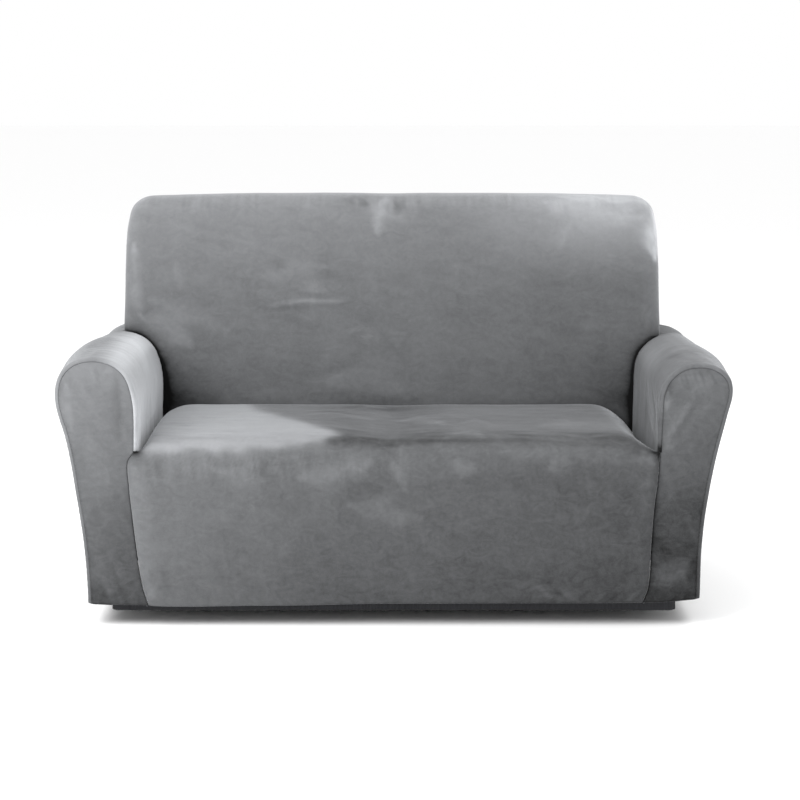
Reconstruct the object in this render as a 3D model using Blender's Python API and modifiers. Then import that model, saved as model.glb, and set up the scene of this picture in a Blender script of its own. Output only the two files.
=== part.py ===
"""Fitted stretch slipcover for a two-seat sofa with rolled arms, as it stands when pulled over the sofa.

The cover is a hollow shell of sewn cloth panels: the seat with its front apron, the inside back that
turns over the top, the outside back with its side returns, two arm covers, two arm facings and the
gathered elastic band under the bottom edge. Every point is worked out as x to the right, y to the back
and z above the floor, with y = 0 at the arm facings; the whole cover then hangs from an empty, so that
the origin is under the top of the back, where the sofa's back holds the cover up.
"""

import math
from collections import namedtuple

import bmesh
import bpy
from mathutils import Vector

# ---------------------------------------------------------------- driving dimensions, in metres
CLOTH = 0.003  # plush stretch cloth with its pile
SEAM_GAP = 0.0010  # between the cut edges of two sewn panels
CROWN_GAP = 0.0020  # between an arm's roll and the back's side
END_GAP = 0.0030  # between an arm cover's end and the inside back
TOP_GAP = 0.0014  # across the seam over the back's top, down and back
BAND_GAP = 0.0015  # between the hem and the elastic band's turn-under
BAND_FOOT = 0.034  # bottom of the elastic band above the floor
BACK_WALL = 0.850  # outer face of the outside back
BACK_SHIFT = 0.006  # how far the back sits to the left of the arms' middle
BACK_EDGE = 0.044  # rounding of the back's front edges
BACK_FLAT = 0.667  # half the width of the back's flat front
BACK_ARCH = 0.007  # how much lower the back's top is towards its ends
REAR_EDGE = 0.032  # rounding of the rear corners
FACING_EDGE = 0.009  # rounding between an arm cover and its facing
FACING_CROWN = 0.008  # how far the arm facing stands proud at its middle
ARM_DROP = 0.035  # how much lower the arm's roll is at its rear end
ARM_LEVEL = 0.580  # how far back the roll stays level
ARM_PUFF = 0.010  # how far the roll swells out behind its front edge
PUFF_RISE, PUFF_FALL = 0.190, 0.480  # how far back the swelling is full, and where it ends
TUCK = 0.372  # how deep the cloth is tucked beside and behind the seat
TUCK_FRONT = 0.428  # where the tuck ends at the front corner of the seat
TUCK_RISE = 0.140  # depth over which the tuck comes up to the front corner
MOUNT_BACK = 0.730  # top of the sofa's back under the cover
MOUNT_HEIGHT = 0.981

COVER_GREY = (0.150, 0.155, 0.162, 1.0)
BAND_GREY = (0.045, 0.047, 0.052, 1.0)

# The bottom hem's height across the front, from left to right.
HemRow = namedtuple("HemRow", "across height")
HEM = (
    HemRow(-0.740, 0.056),
    HemRow(-0.640, 0.053),
    HemRow(-0.520, 0.049),
    HemRow(-0.300, 0.052),
    HemRow(0.000, 0.057),
    HemRow(0.400, 0.058),
    HemRow(0.620, 0.059),
    HemRow(0.740, 0.068),
)

# An arm's section from the outer hem over the roll to the tuck beside the seat.
ArmRow = namedtuple("ArmRow", "outward height")
LEFT_ARM = (
    ArmRow(0.7345, 0.056),
    ArmRow(0.7370, 0.140),
    ArmRow(0.7435, 0.222),
    ArmRow(0.7575, 0.326),
    ArmRow(0.7670, 0.396),
    ArmRow(0.7785, 0.459),
    ArmRow(0.7925, 0.508),
    ArmRow(0.8010, 0.557),
    ArmRow(0.7920, 0.604),
    ArmRow(0.7640, 0.637),
    ArmRow(0.7280, 0.6505),
    ArmRow(0.6900, 0.6500),
    ArmRow(0.6540, 0.6370),
    ArmRow(0.6270, 0.6100),
    ArmRow(0.6125, 0.5700),
    ArmRow(0.6060, 0.5250),
    ArmRow(0.6060, 0.4750),
    ArmRow(0.6075, 0.4250),
    ArmRow(0.6075, 0.3600),
)
RIGHT_ARM = (
    ArmRow(0.7348, 0.068),
    ArmRow(0.7352, 0.140),
    ArmRow(0.7385, 0.222),
    ArmRow(0.7510, 0.326),
    ArmRow(0.7620, 0.392),
    ArmRow(0.7750, 0.450),
    ArmRow(0.7890, 0.508),
    ArmRow(0.8014, 0.566),
    ArmRow(0.7930, 0.604),
    ArmRow(0.7640, 0.6285),
    ArmRow(0.7280, 0.6370),
    ArmRow(0.6920, 0.6330),
    ArmRow(0.6620, 0.6165),
    ArmRow(0.6400, 0.5900),
    ArmRow(0.6300, 0.5570),
    ArmRow(0.6280, 0.5150),
    ArmRow(0.6265, 0.4700),
    ArmRow(0.6255, 0.4250),
    ArmRow(0.6255, 0.3600),
)
INNER_SHOULDER = 12 / 18  # the share of the section at which its inner wall begins

# Seam between an arm facing and the apron, on the plane of the facings, from the hem upwards.
SeamRow = namedtuple("SeamRow", "outward height")
LEFT_SEAM = (
    SeamRow(0.5880, 0.050),
    SeamRow(0.6010, 0.096),
    SeamRow(0.6092, 0.148),
    SeamRow(0.6166, 0.208),
    SeamRow(0.6235, 0.280),
    SeamRow(0.6298, 0.355),
    SeamRow(0.6308, 0.402),
    SeamRow(0.6125, 0.428),
)
RIGHT_SEAM = (
    SeamRow(0.5965, 0.059),
    SeamRow(0.6085, 0.096),
    SeamRow(0.6128, 0.148),
    SeamRow(0.6156, 0.208),
    SeamRow(0.6198, 0.280),
    SeamRow(0.6270, 0.355),
    SeamRow(0.6302, 0.402),
    SeamRow(0.6300, 0.428),
)

Side = namedtuple("Side", "name sign arm seam back_shift")
LEFT = Side("left", -1, LEFT_ARM, LEFT_SEAM, BACK_SHIFT)
RIGHT = Side("right", 1, RIGHT_ARM, RIGHT_SEAM, -BACK_SHIFT)

# The seat from the tuck behind it to its front roll: the line on the middle of the sofa, how wide its
# flat part is on each side, where its rounded edge would come to a corner, and how far back the row
# reaches the tuck beside the seat.
SeatRow = namedtuple("SeatRow", "back height left_flat right_flat left_edge right_edge tuck_back")
SEAT_ROWS = (
    SeatRow(0.5590, 0.3730, 0.540, 0.520, 0.590, 0.590, 0.5570),
    SeatRow(0.5510, 0.4120, 0.525, 0.510, 0.580, 0.575, 0.5440),
    SeatRow(0.5330, 0.4440, 0.520, 0.505, 0.578, 0.570, 0.5260),
    SeatRow(0.4950, 0.4570, 0.530, 0.510, 0.588, 0.575, 0.4940),
    SeatRow(0.4200, 0.4600, 0.555, 0.520, 0.598, 0.582, 0.4250),
    SeatRow(0.3300, 0.4610, 0.566, 0.524, 0.601, 0.585, 0.3350),
    SeatRow(0.2400, 0.4610, 0.568, 0.526, 0.602, 0.588, 0.2450),
    SeatRow(0.1600, 0.4600, 0.569, 0.530, 0.602, 0.592, 0.1700),
    SeatRow(0.1000, 0.4570, 0.570, 0.538, 0.602, 0.600, 0.1150),
    SeatRow(0.0620, 0.4510, 0.570, 0.548, 0.602, 0.608, 0.0750),
    SeatRow(0.0320, 0.4400, 0.571, 0.558, 0.600, 0.613, 0.0420),
    SeatRow(0.0100, 0.4230, 0.573, 0.568, 0.602, 0.619, 0.0130),
    SeatRow(0.0020, 0.4120, 0.575, 0.573, 0.606, 0.624, 0.0040),
)

# The apron from the front roll to the hem, down to the seam beside the arm facing.
ApronRow = namedtuple("ApronRow", "back height left_flat right_flat seam_height")
APRON_ROWS = (
    ApronRow(-0.0050, 0.4000, 0.578, 0.578, 0.428),
    ApronRow(-0.0140, 0.3710, 0.586, 0.584, 0.402),
    ApronRow(-0.0180, 0.3250, 0.590, 0.586, 0.355),
    ApronRow(-0.0190, 0.2620, 0.586, 0.582, 0.280),
    ApronRow(-0.0180, 0.2000, 0.580, 0.578, 0.208),
    ApronRow(-0.0150, 0.1450, 0.573, 0.576, 0.148),
    ApronRow(-0.0100, 0.0950, 0.565, 0.572, 0.096),
    ApronRow(-0.0040, 0.0500, 0.556, 0.564, 0.050),
)

# The inside back's line on the middle of the sofa, from the tuck up its face and over the top.
LineRow = namedtuple("LineRow", "back height")
BACK_LINE = (
    LineRow(0.5600, 0.372),
    LineRow(0.5630, 0.450),
    LineRow(0.5710, 0.550),
    LineRow(0.5840, 0.655),
    LineRow(0.5920, 0.715),
    LineRow(0.6000, 0.765),
    LineRow(0.6100, 0.825),
    LineRow(0.6210, 0.880),
    LineRow(0.6340, 0.925),
    LineRow(0.6530, 0.960),
    LineRow(0.6850, 0.981),
    LineRow(0.7250, 0.988),
    LineRow(0.7650, 0.984),
    LineRow(0.7960, 0.970),
    LineRow(0.8140, 0.950),
)

# The inside back above the arms: its line on the middle of the sofa, half the width of its flat part,
# and where the row meets the seam with the side return.
BackRow = namedtuple("BackRow", "back height flat_half side_out side_back side_height")
BACK_ROWS = (
    BackRow(0.5925, 0.718, 0.664, 0.7065, 0.6290, 0.6520),
    BackRow(0.6010, 0.772, 0.664, 0.7045, 0.6400, 0.7120),
    BackRow(0.6100, 0.825, 0.663, 0.7035, 0.6520, 0.7780),
    BackRow(0.6210, 0.880, 0.661, 0.7025, 0.6690, 0.8380),
    BackRow(0.6340, 0.925, 0.655, 0.7010, 0.6920, 0.8840),
    BackRow(0.6530, 0.960, 0.645, 0.6990, 0.7190, 0.9080),
    BackRow(0.6850, 0.981, 0.636, 0.6985, 0.7430, 0.9205),
    BackRow(0.7250, 0.988, 0.631, 0.6980, 0.7610, 0.9250),
    BackRow(0.7650, 0.984, 0.630, 0.6975, 0.7770, 0.9270),
    BackRow(0.7960, 0.970, 0.631, 0.6970, 0.7890, 0.9285),
    BackRow(0.8140, 0.950, 0.634, 0.6965, 0.7990, 0.9300),
)

# The outside back's line on the middle of the sofa, and its rows above the arms.
REAR_LINE = (
    LineRow(0.8500, 0.040),
    LineRow(0.8500, 0.640),
    LineRow(0.8480, 0.730),
    LineRow(0.8430, 0.810),
    LineRow(0.8350, 0.870),
    LineRow(0.8260, 0.915),
    LineRow(0.8140, 0.950),
)

# The outside back's rows above the arms: their height on the middle of the sofa and at the rear corner.
RearRow = namedtuple("RearRow", "height corner_height")
REAR_ROWS = (
    RearRow(0.700, 0.620),
    RearRow(0.748, 0.700),
    RearRow(0.792, 0.758),
    RearRow(0.831, 0.805),
    RearRow(0.864, 0.838),
    RearRow(0.888, 0.860),
    RearRow(0.905, 0.875),
    RearRow(0.918, 0.886),
    RearRow(0.929, 0.896),
    RearRow(0.940, 0.907),
    RearRow(0.950, 0.922),
)

# Soft folds, each a trough along a line on the cloth: half its width, its depth and where it ends.
BACK_FOLD_AT = -0.018  # the crease pulled over the top of the back, near its middle
BACK_FOLD_LEAN = 0.30
BACK_FOLD_WIDTH = 0.040
BACK_FOLD_DEPTH = 0.007
BACK_FOLD_LOW, BACK_FOLD_HIGH = 0.830, 0.930
SEAT_DIP_WIDTH = 0.110  # the hollow where the two seat cushions meet under the cloth
SEAT_DIP_DEPTH = 0.010
SEAT_DIP_LOW, SEAT_DIP_HIGH = 0.200, 0.420

# How finely the panels are divided.
OUTER_STEPS = 14  # an arm's outer side, up to the back's side
CROWN_STEPS = 5  # over the arm's roll
APRON_STEPS = len(APRON_ROWS) - 1
INNER_STEPS = OUTER_STEPS - APRON_STEPS  # an arm's inner wall, down to the tuck
SECTION_STEPS = OUTER_STEPS + CROWN_STEPS + INNER_STEPS
EDGE_STEPS = 3  # the rounding of an arm's front edge
ARM_STEPS = 7  # along an arm, from its front edge to the inside back
BESIDE_STEPS = 3  # along an arm's roll, beside the back
CORNER_STEPS = 4  # a rounded edge of the seat or the outside back
RETURN_STEPS = 3  # the outside back's side return
SEAT_STEPS = 8  # half the flat part of the seat
BACK_STEPS = 7  # half the flat part of the inside back
REAR_STEPS = 5  # half the flat part of the outside back


# ---------------------------------------------------------------- curves
def ease(value, low, high):
    """0 below low and 1 above high, with a smooth step between."""
    t = min(max((value - low) / (high - low), 0.0), 1.0)
    return t * t * (3 - 2 * t)


def mix(start, end, share):
    return start + (end - start) * share


def trough(distance, half_width):
    """1 on a fold's line, falling smoothly to 0 at its edges."""
    return math.exp(-2.5 * (distance / half_width) ** 2)


def smooth_at(rows, share):
    """The point at this share of a smooth curve through a table's rows."""
    spans = len(rows) - 1
    place = min(max(share, 0.0), 1.0) * spans
    first = min(int(place), spans - 1)
    t = place - first
    before, start, end, after = (
        Vector(rows[min(max(first + step, 0), spans)]) for step in (-1, 0, 1, 2)
    )
    return 0.5 * (
        2 * start
        + (end - before) * t
        + (2 * before - 5 * start + 4 * end - after) * t**2
        + (3 * start - before - 3 * end + after) * t**3
    )


def share_until(rows, low, high, before):
    """The share between low and high at which a smooth curve's points stop meeting a condition."""
    for _ in range(40):
        middle = (low + high) / 2
        if before(smooth_at(rows, middle)):
            low = middle
        else:
            high = middle
    return (low + high) / 2


def at_height(rows, height):
    """The first value of a rising curve at this height."""
    return smooth_at(rows, share_until(rows, 0.0, 1.0, lambda point: point[1] < height))[0]


def hem_height(across):
    """The height of the bottom hem at this distance to the right of the sofa's middle."""
    for low, high in zip(HEM, HEM[1:]):
        if across <= high.across:
            return mix(low.height, high.height, ease(across, low.across, high.across))
    return HEM[-1].height


def rounded_corner(start, corner, end, t):
    """A point on the rounding that leaves start towards corner and arrives at end."""
    first = start.lerp(corner, 0.58)
    second = end.lerp(corner, 0.58)
    u = 1 - t
    return u**3 * start + 3 * u * u * t * first + 3 * u * t * t * second + t**3 * end


def round_off(across, flat, side):
    """How far a quarter round from flat to side has fallen at this distance: 0 to 1."""
    u = min(max((across - flat) / (side - flat), 0.0), 1.0)
    return 1 - math.sqrt(1 - u * u)


# ---------------------------------------------------------------- panels
def cloth_object(name, grids, material, flip=False):
    """A panel thickened to the inside. It is welded from grids of (columns, rows, place), where
    place(i, j) is the point at column i and row j."""
    panel = bmesh.new()
    for columns, rows, place in grids:
        made = bmesh.ops.create_grid(panel, x_segments=columns, y_segments=rows, size=0.5)
        for vertex in made["verts"]:
            i = round((vertex.co.x + 0.5) * columns)
            j = round((vertex.co.y + 0.5) * rows)
            vertex.co = place(i, j)
    bmesh.ops.remove_doubles(panel, verts=panel.verts, dist=1e-5)
    if flip:
        bmesh.ops.reverse_faces(panel, faces=panel.faces)
    mesh = bpy.data.meshes.new(name)
    panel.to_mesh(mesh)
    panel.free()
    mesh.materials.append(material)
    mesh.shade_smooth()
    panel = bpy.data.objects.new(name, mesh)
    collection.objects.link(panel)
    panel.parent = cover
    thickness = panel.modifiers.new("cloth", "SOLIDIFY")
    thickness.thickness = CLOTH
    thickness.offset = -1
    return panel


def cloth_material(name, colour):
    material = bpy.data.materials.new(name)
    material.use_nodes = True
    shader = material.node_tree.nodes["Principled BSDF"]
    shader.inputs["Base Color"].default_value = colour
    shader.inputs["Roughness"].default_value = 0.9
    shader.inputs["Metallic"].default_value = 0.0
    return material


def columns_across(count):
    """Columns from the right edge through the middle to the left edge, as (side, step outward)."""
    return [(RIGHT, step) for step in range(count, 0, -1)] + [(LEFT, step) for step in range(count + 1)]


# ---------------------------------------------------------------- arms
def tuck_height(back):
    """How low the tuck beside the seat reaches, this far back."""
    return mix(TUCK_FRONT, TUCK, ease(back, 0.0, TUCK_RISE))


def back_wall_out(side):
    """How far out the back's side stands where it rises from the arm."""
    return BACK_ROWS[0].side_out + side.back_shift


def arm_share(side, step, back):
    """The share of an arm's section at this step from its hem, this far back."""
    wall = back_wall_out(side) + SEAM_GAP
    over = share_until(side.arm, 0.4, 0.65, lambda point: point[0] > wall)
    if step <= OUTER_STEPS:
        return over * step / OUTER_STEPS
    if step <= OUTER_STEPS + CROWN_STEPS:
        inwards = (step - OUTER_STEPS) / CROWN_STEPS
        return mix(INNER_SHOULDER, over, math.cos(math.radians(90 * inwards)))
    lowest = tuck_height(back)
    tuck = share_until(side.arm, INNER_SHOULDER, 1.0, lambda point: point[1] > lowest)
    return mix(INNER_SHOULDER, tuck, (step - OUTER_STEPS - CROWN_STEPS) / INNER_STEPS)


def arm_point(side, step, back, inset=0.0):
    """A point of an arm's section, outward and height, moved into the arm by inset."""
    share = arm_share(side, step, back)
    point = smooth_at(side.arm, share)
    ahead = smooth_at(side.arm, share + 0.01) - smooth_at(side.arm, share - 0.01)
    ahead.normalize()
    puff = ARM_PUFF * ease(back, 0.0, PUFF_RISE) * (1 - ease(back, PUFF_RISE, PUFF_FALL))
    inset -= puff * ease(point[1], 0.50, 0.61)
    point = point + inset * Vector((-ahead[1], ahead[0]))
    beyond = max(back - ARM_LEVEL, 0.0) / (BACK_WALL - ARM_LEVEL)
    point[1] -= ARM_DROP * beyond**2 * ease(point[1], 0.45, 0.62)
    if step == 0:
        point[1] = hem_height(side.sign * point[0])
    return point


def edge_inset(back):
    """How far the rounded front edge draws an arm's section in, this far back."""
    if back >= FACING_EDGE:
        return 0.0
    return FACING_EDGE - math.sqrt(FACING_EDGE**2 - (FACING_EDGE - max(back, 0.0)) ** 2)


def back_face(height):
    """How far back the inside back's face lies at this height."""
    return at_height(BACK_LINE[:10], height)


def arm_end(side, step):
    """How far back this column of an arm cover runs before it meets or passes the inside back."""
    outward, height = arm_point(side, max(step, OUTER_STEPS), ARM_LEVEL)
    fall = round_off(outward, BACK_FLAT + side.back_shift, back_wall_out(side))
    return back_face(height) + BACK_EDGE * fall - END_GAP


def arm_cover(side):
    ends = [arm_end(side, step) for step in range(SECTION_STEPS + 1)]

    def before_back(i, j):
        if j < EDGE_STEPS:
            angle = math.radians(90 * j / EDGE_STEPS)
            back = FACING_EDGE * (1 - math.cos(angle))
            outward, height = arm_point(side, i, back, FACING_EDGE * (1 - math.sin(angle)))
        else:
            back = mix(FACING_EDGE, ends[i], (j - EDGE_STEPS) / ARM_STEPS)
            outward, height = arm_point(side, i, back)
        return Vector((side.sign * outward, back, height))

    def beside_back(i, j):
        back = mix(ends[i], BACK_WALL - REAR_EDGE - SEAM_GAP, j / BESIDE_STEPS)
        outward, height = arm_point(side, i, back)
        return Vector((side.sign * outward, back, height))

    grids = (
        (SECTION_STEPS, EDGE_STEPS + ARM_STEPS, before_back),
        (OUTER_STEPS, BESIDE_STEPS, beside_back),
    )
    return cloth_object(f"arm_cover_{side.name}", grids, velour, flip=side.sign > 0)


def facing_border(side, step, outer):
    """A point of an arm facing's border: up its outer or its inner side, at this step from the hem."""
    inset = FACING_EDGE + SEAM_GAP
    if outer:
        return arm_point(side, step, 0.0, inset)
    if step < APRON_STEPS:
        outward, height = apron_seam(side, APRON_ROWS[APRON_STEPS - step])
        return Vector((outward + SEAM_GAP, height))
    return arm_point(side, SECTION_STEPS - (step - APRON_STEPS), 0.0, inset)


def arm_facing(side):
    def place(i, j):
        across = i / CROWN_STEPS
        if j < OUTER_STEPS:
            outward, height = facing_border(side, j, False).lerp(facing_border(side, j, True), across)
        else:
            step = OUTER_STEPS + CROWN_STEPS - i
            outward, height = arm_point(side, step, 0.0, FACING_EDGE + SEAM_GAP)
        crown = FACING_CROWN * math.sin(math.pi * across)
        crown *= ease(height, 0.03, 0.14) * ease(OUTER_STEPS - j, -0.5, 3.5)
        if j == 0:
            height = hem_height(side.sign * outward)
        if j == OUTER_STEPS:
            crown = 0.0
        return Vector((side.sign * outward, -crown, height))

    grids = ((CROWN_STEPS, OUTER_STEPS, place),)
    return cloth_object(f"arm_facing_{side.name}", grids, velour, flip=side.sign < 0)


# ---------------------------------------------------------------- seat and apron
def apron_seam(side, row):
    """Where this row of the apron meets its side seam: outward and height."""
    outward = at_height(side.seam, row.seam_height)
    if row is APRON_ROWS[-1]:
        return Vector((outward, hem_height(side.sign * outward)))
    return Vector((outward, row.seam_height))


def seat_seam(side, row):
    """Where this row of the seat or the apron meets its side seam."""
    if isinstance(row, ApronRow):
        outward, height = apron_seam(side, row)
        return Vector((outward, 0.0, height))
    inset = edge_inset(row.tuck_back)
    outward, height = arm_point(side, SECTION_STEPS, row.tuck_back, inset)
    return Vector((outward - 0.0015, row.tuck_back, height))


def seat_and_apron():
    columns = columns_across(SEAT_STEPS + CORNER_STEPS)
    rows = SEAT_ROWS + APRON_ROWS

    def place(i, j):
        side, step = columns[i]
        row = rows[j]
        flat = Vector((row.left_flat if side is LEFT else row.right_flat, row.back, row.height))
        if step <= SEAT_STEPS:
            point = Vector((flat.x * step / SEAT_STEPS, row.back, row.height))
            dip = SEAT_DIP_DEPTH * trough(point.x, SEAT_DIP_WIDTH)
            dip *= ease(row.height, SEAT_DIP_LOW, SEAT_DIP_HIGH) * ease(0.54 - row.back, 0.0, 0.10)
            on_top = ease(row.back, -0.01, 0.10)
            point.z -= dip * on_top
            point.y += dip * (1 - on_top)
        else:
            seam = seat_seam(side, row)
            if isinstance(row, ApronRow):
                corner = Vector((seam.x, row.back, mix(row.height, seam.z, 0.5)))
            else:
                corner = Vector((row.left_edge if side is LEFT else row.right_edge, row.back, row.height))
            point = rounded_corner(flat, corner, seam, (step - SEAT_STEPS) / CORNER_STEPS)
        if row is APRON_ROWS[-1]:
            point.z = hem_height(side.sign * point.x)
        return Vector((side.sign * point.x, point.y, point.z))

    return cloth_object("seat_and_apron", ((len(columns) - 1, len(rows) - 1, place),), velour)


# ---------------------------------------------------------------- inside back
BACK_CORNER = CORNER_STEPS + RETURN_STEPS  # the same division as the outside back's, along their seam
UNDER_CROWN = OUTER_STEPS + 1  # the column of the arm under which its last row beside the roll ends
UNDER_DEPTH = 0.0045
BELOW_CROWN = INNER_STEPS + 2


def crown_height(side, back):
    """The height of the arm's roll beside the back, this far back."""
    return arm_point(side, OUTER_STEPS, back)[1]


def side_seam(side, row):
    """Where this row of the inside back meets the side return."""
    if row is not BACK_ROWS[0]:
        return Vector((row.side_out + side.back_shift, row.side_back, row.side_height))
    height = crown_height(side, row.side_back) + CROWN_GAP
    return Vector((back_wall_out(side), back_face(height) + BACK_EDGE, height))


def row_across(flat, side, step, flat_steps, corner_steps):
    """The distance from the middle at this column of a row with a flat part and a rounded edge."""
    if step <= flat_steps:
        return flat * step / flat_steps
    return mix(flat, side, math.sin(math.radians(90 * (step - flat_steps) / corner_steps)))


def upper_back_point(side, row, step, flat_steps):
    """A point of a row of the inside back above the arms."""
    seam = side_seam(side, row)
    flat = row.flat_half + side.back_shift
    across = row_across(flat, seam.x, step, flat_steps, BACK_CORNER)
    fall = round_off(across, flat, seam.x)
    number = BACK_ROWS.index(row)
    slope = mix((across / seam.x) ** 2, fall, ease(number, 0, 4))
    height = mix(row.height, seam.z, slope)
    if number < 4:
        back = back_face(height) + (seam.y - back_face(seam.z)) * fall
    else:
        back = mix(row.back, seam.y, fall)
    height -= BACK_ARCH * min(across / flat, 1.0) ** 4 * ease(number, 2, 6) * (1 - fall)
    return Vector((across, back, height))


def lower_back_point(side, j, step):
    """A point of a row of the inside back beside the arm."""
    beside = UNDER_CROWN if j > INNER_STEPS else SECTION_STEPS - j
    edge, edge_height = arm_point(side, beside, ARM_LEVEL, UNDER_DEPTH if j > INNER_STEPS else CLOTH)
    flat = min(BACK_FLAT + side.back_shift, edge - 0.03)
    if step <= BACK_STEPS:
        across = flat * step / BACK_STEPS
    else:
        across = mix(flat, edge, (step - BACK_STEPS) / BACK_CORNER)
    height = mix(mix(TUCK, 0.690, j / BELOW_CROWN), edge_height, (across / edge) ** 2)
    fall = round_off(across, BACK_FLAT + side.back_shift, back_wall_out(side))
    return Vector((across, back_face(height) + BACK_EDGE * fall, height))


def inside_back():
    columns = columns_across(BACK_STEPS + BACK_CORNER)

    def place(i, j):
        side, step = columns[i]
        if j < BELOW_CROWN:
            point = lower_back_point(side, j, step)
        else:
            point = upper_back_point(side, BACK_ROWS[j - BELOW_CROWN], step, BACK_STEPS)
        line = BACK_FOLD_AT + BACK_FOLD_LEAN * (point.z - 0.94)
        fold = BACK_FOLD_DEPTH * trough(side.sign * point.x - line, BACK_FOLD_WIDTH)
        fold *= ease(point.z, BACK_FOLD_LOW, BACK_FOLD_HIGH)
        on_top = ease(point.y, 0.64, 0.70)
        point.y += fold * (1 - on_top)
        point.z -= 0.2 * fold * on_top * ease(0.80 - point.y, 0.0, 0.05)
        return Vector((side.sign * point.x, point.y, point.z))

    rows = BELOW_CROWN + len(BACK_ROWS) - 1
    return cloth_object("inside_back", ((len(columns) - 1, rows, place),), velour, flip=True)


# ---------------------------------------------------------------- outside back
def top_seam_point(side, step, flat_steps):
    """A point of the outside back's edge at the seam over the back's top."""
    corner = max(step - flat_steps, 0) / BACK_CORNER
    gap = mix(TOP_GAP, 2 * TOP_GAP, corner)
    return upper_back_point(side, BACK_ROWS[-1], step, flat_steps) + Vector((0.0, gap, -gap))


def corner_point(side, j):
    """A point of the line where the outside back turns forward, or meets the arm cover's end."""
    if j < OUTER_STEPS:
        outward, height = arm_point(side, j, BACK_WALL - REAR_EDGE)
        return Vector((outward, BACK_WALL - REAR_EDGE, height))
    number = j - OUTER_STEPS
    row = BACK_ROWS[number]
    outward = row.side_out + side.back_shift
    if number == 0:
        height = crown_height(side, BACK_WALL - REAR_EDGE) + CROWN_GAP
        return Vector((outward, BACK_WALL - REAR_EDGE, height))
    back = at_height(REAR_LINE, REAR_ROWS[number].height) - REAR_EDGE
    return Vector((outward, max(back, row.side_back + 0.010), REAR_ROWS[number].corner_height))


def rear_point(side, j, step):
    """A point of the outside back's rear, up to the line where it turns forward."""
    corner = corner_point(side, j)
    above = j - OUTER_STEPS
    middle = mix(0.055, REAR_ROWS[0].height, j / OUTER_STEPS) if above < 0 else REAR_ROWS[above].height
    turned = max(step - REAR_STEPS, 0) / CORNER_STEPS
    flat = corner.x - REAR_EDGE
    across = mix(flat, corner.x, math.sin(math.radians(90 * turned))) if turned else flat * step / REAR_STEPS
    height = mix(middle, corner.z, (across / corner.x) ** (2 if above < 3 else 6))
    if j == 0:
        height = hem_height(side.sign * across)
    rear = at_height(REAR_LINE, height)
    return Vector((across, mix(corner.y, rear, math.cos(math.radians(90 * turned))), height))


def return_point(side, number, step):
    """A point of the side return, from the rear corner forward to the inside back's edge."""
    row = BACK_ROWS[number]
    before, after = BACK_ROWS[max(number - 1, 0)], BACK_ROWS[min(number + 1, len(BACK_ROWS) - 1)]
    along = Vector((0.0, after.side_back - before.side_back, after.side_height - before.side_height))
    along.normalize()
    gap = mix(SEAM_GAP, 2 * SEAM_GAP, ease(number, 5, 8))
    seam = side_seam(side, row) + gap * Vector((0.0, along.z, -along.y))
    point = corner_point(side, OUTER_STEPS + number).lerp(seam, step / RETURN_STEPS)
    if number == 0:
        point.z = crown_height(side, point.y) + CROWN_GAP
    return point


def outside_back():
    columns = columns_across(REAR_STEPS + CORNER_STEPS)
    last = len(BACK_ROWS) - 1

    def on_rear(i, j):
        side, step = columns[i]
        top = j == OUTER_STEPS + last
        point = top_seam_point(side, step, REAR_STEPS) if top else rear_point(side, j, step)
        return Vector((side.sign * point.x, point.y, point.z))

    def on_return(side):
        def place(i, j):
            if j == last:
                point = top_seam_point(side, REAR_STEPS + CORNER_STEPS + i, REAR_STEPS)
            else:
                point = return_point(side, j, i)
            return Vector((side.sign * point.x, point.y, point.z))

        return place

    def mirrored(place):
        return lambda i, j: place(RETURN_STEPS - i, j)

    grids = (
        (len(columns) - 1, OUTER_STEPS + last, on_rear),
        (RETURN_STEPS, last, on_return(LEFT)),
        (RETURN_STEPS, last, mirrored(on_return(RIGHT))),
    )
    return cloth_object("outside_back", grids, velour)


# ---------------------------------------------------------------- elastic band
def rounded_rectangle(half_width, front, rear, radius, side_steps, corner_steps):
    """A loop of points round a rectangle with round corners."""
    corners = (
        (half_width - radius, front + radius, -90),
        (half_width - radius, rear - radius, 0),
        (radius - half_width, rear - radius, 90),
        (radius - half_width, front + radius, 180),
    )
    points = []
    for x, y, first in corners:
        for step in range(corner_steps + 1):
            angle = math.radians(first + 90 * step / corner_steps)
            points.append(Vector((x + radius * math.cos(angle), y + radius * math.sin(angle))))
    loop = []
    for place, point in enumerate(points):
        following = points[(place + 1) % len(points)]
        steps = side_steps if (following - point).length > 3 * radius else 1
        loop += [point.lerp(following, step / steps) for step in range(steps)]
    return loop


def elastic_band():
    """The gathered strip that turns under the sofa's frame: a turn-under, then the hanging band."""
    outer = rounded_rectangle(0.7335, 0.0012, BACK_WALL - 0.0012, 0.020, 16, 4)
    inner = rounded_rectangle(0.6800, 0.0220, BACK_WALL - 0.0220, 0.018, 16, 4)
    # Each ring: the share of the way inwards, and the share of the way down from the turn-under.
    rings = ((0.0, 0.0), (0.5, 0.0), (0.90, 0.0), (1.0, 0.25), (1.0, 1.0))

    def place(i, j):
        inwards, down = rings[j]
        point = outer[i % len(outer)].lerp(inner[i % len(outer)], inwards)
        height = mix(hem_height(point.x) - BAND_GAP, BAND_FOOT, down)
        return Vector((point.x, point.y, height))

    return cloth_object("hem_band", ((len(outer), len(rings) - 1, place),), elastic)


for old in list(bpy.data.objects):
    bpy.data.objects.remove(old)
collection = bpy.data.collections.new("sofa_slipcover")
bpy.context.scene.collection.children.link(collection)
velour = cloth_material("cover_velour", COVER_GREY)
elastic = cloth_material("hem_elastic", BAND_GREY)

cover = bpy.data.objects.new("cover", None)
cover.location = (0.0, -MOUNT_BACK, -MOUNT_HEIGHT)
collection.objects.link(cover)

seat_and_apron()
inside_back()
outside_back()
for each_side in (LEFT, RIGHT):
    arm_cover(each_side)
    arm_facing(each_side)
elastic_band()
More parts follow.
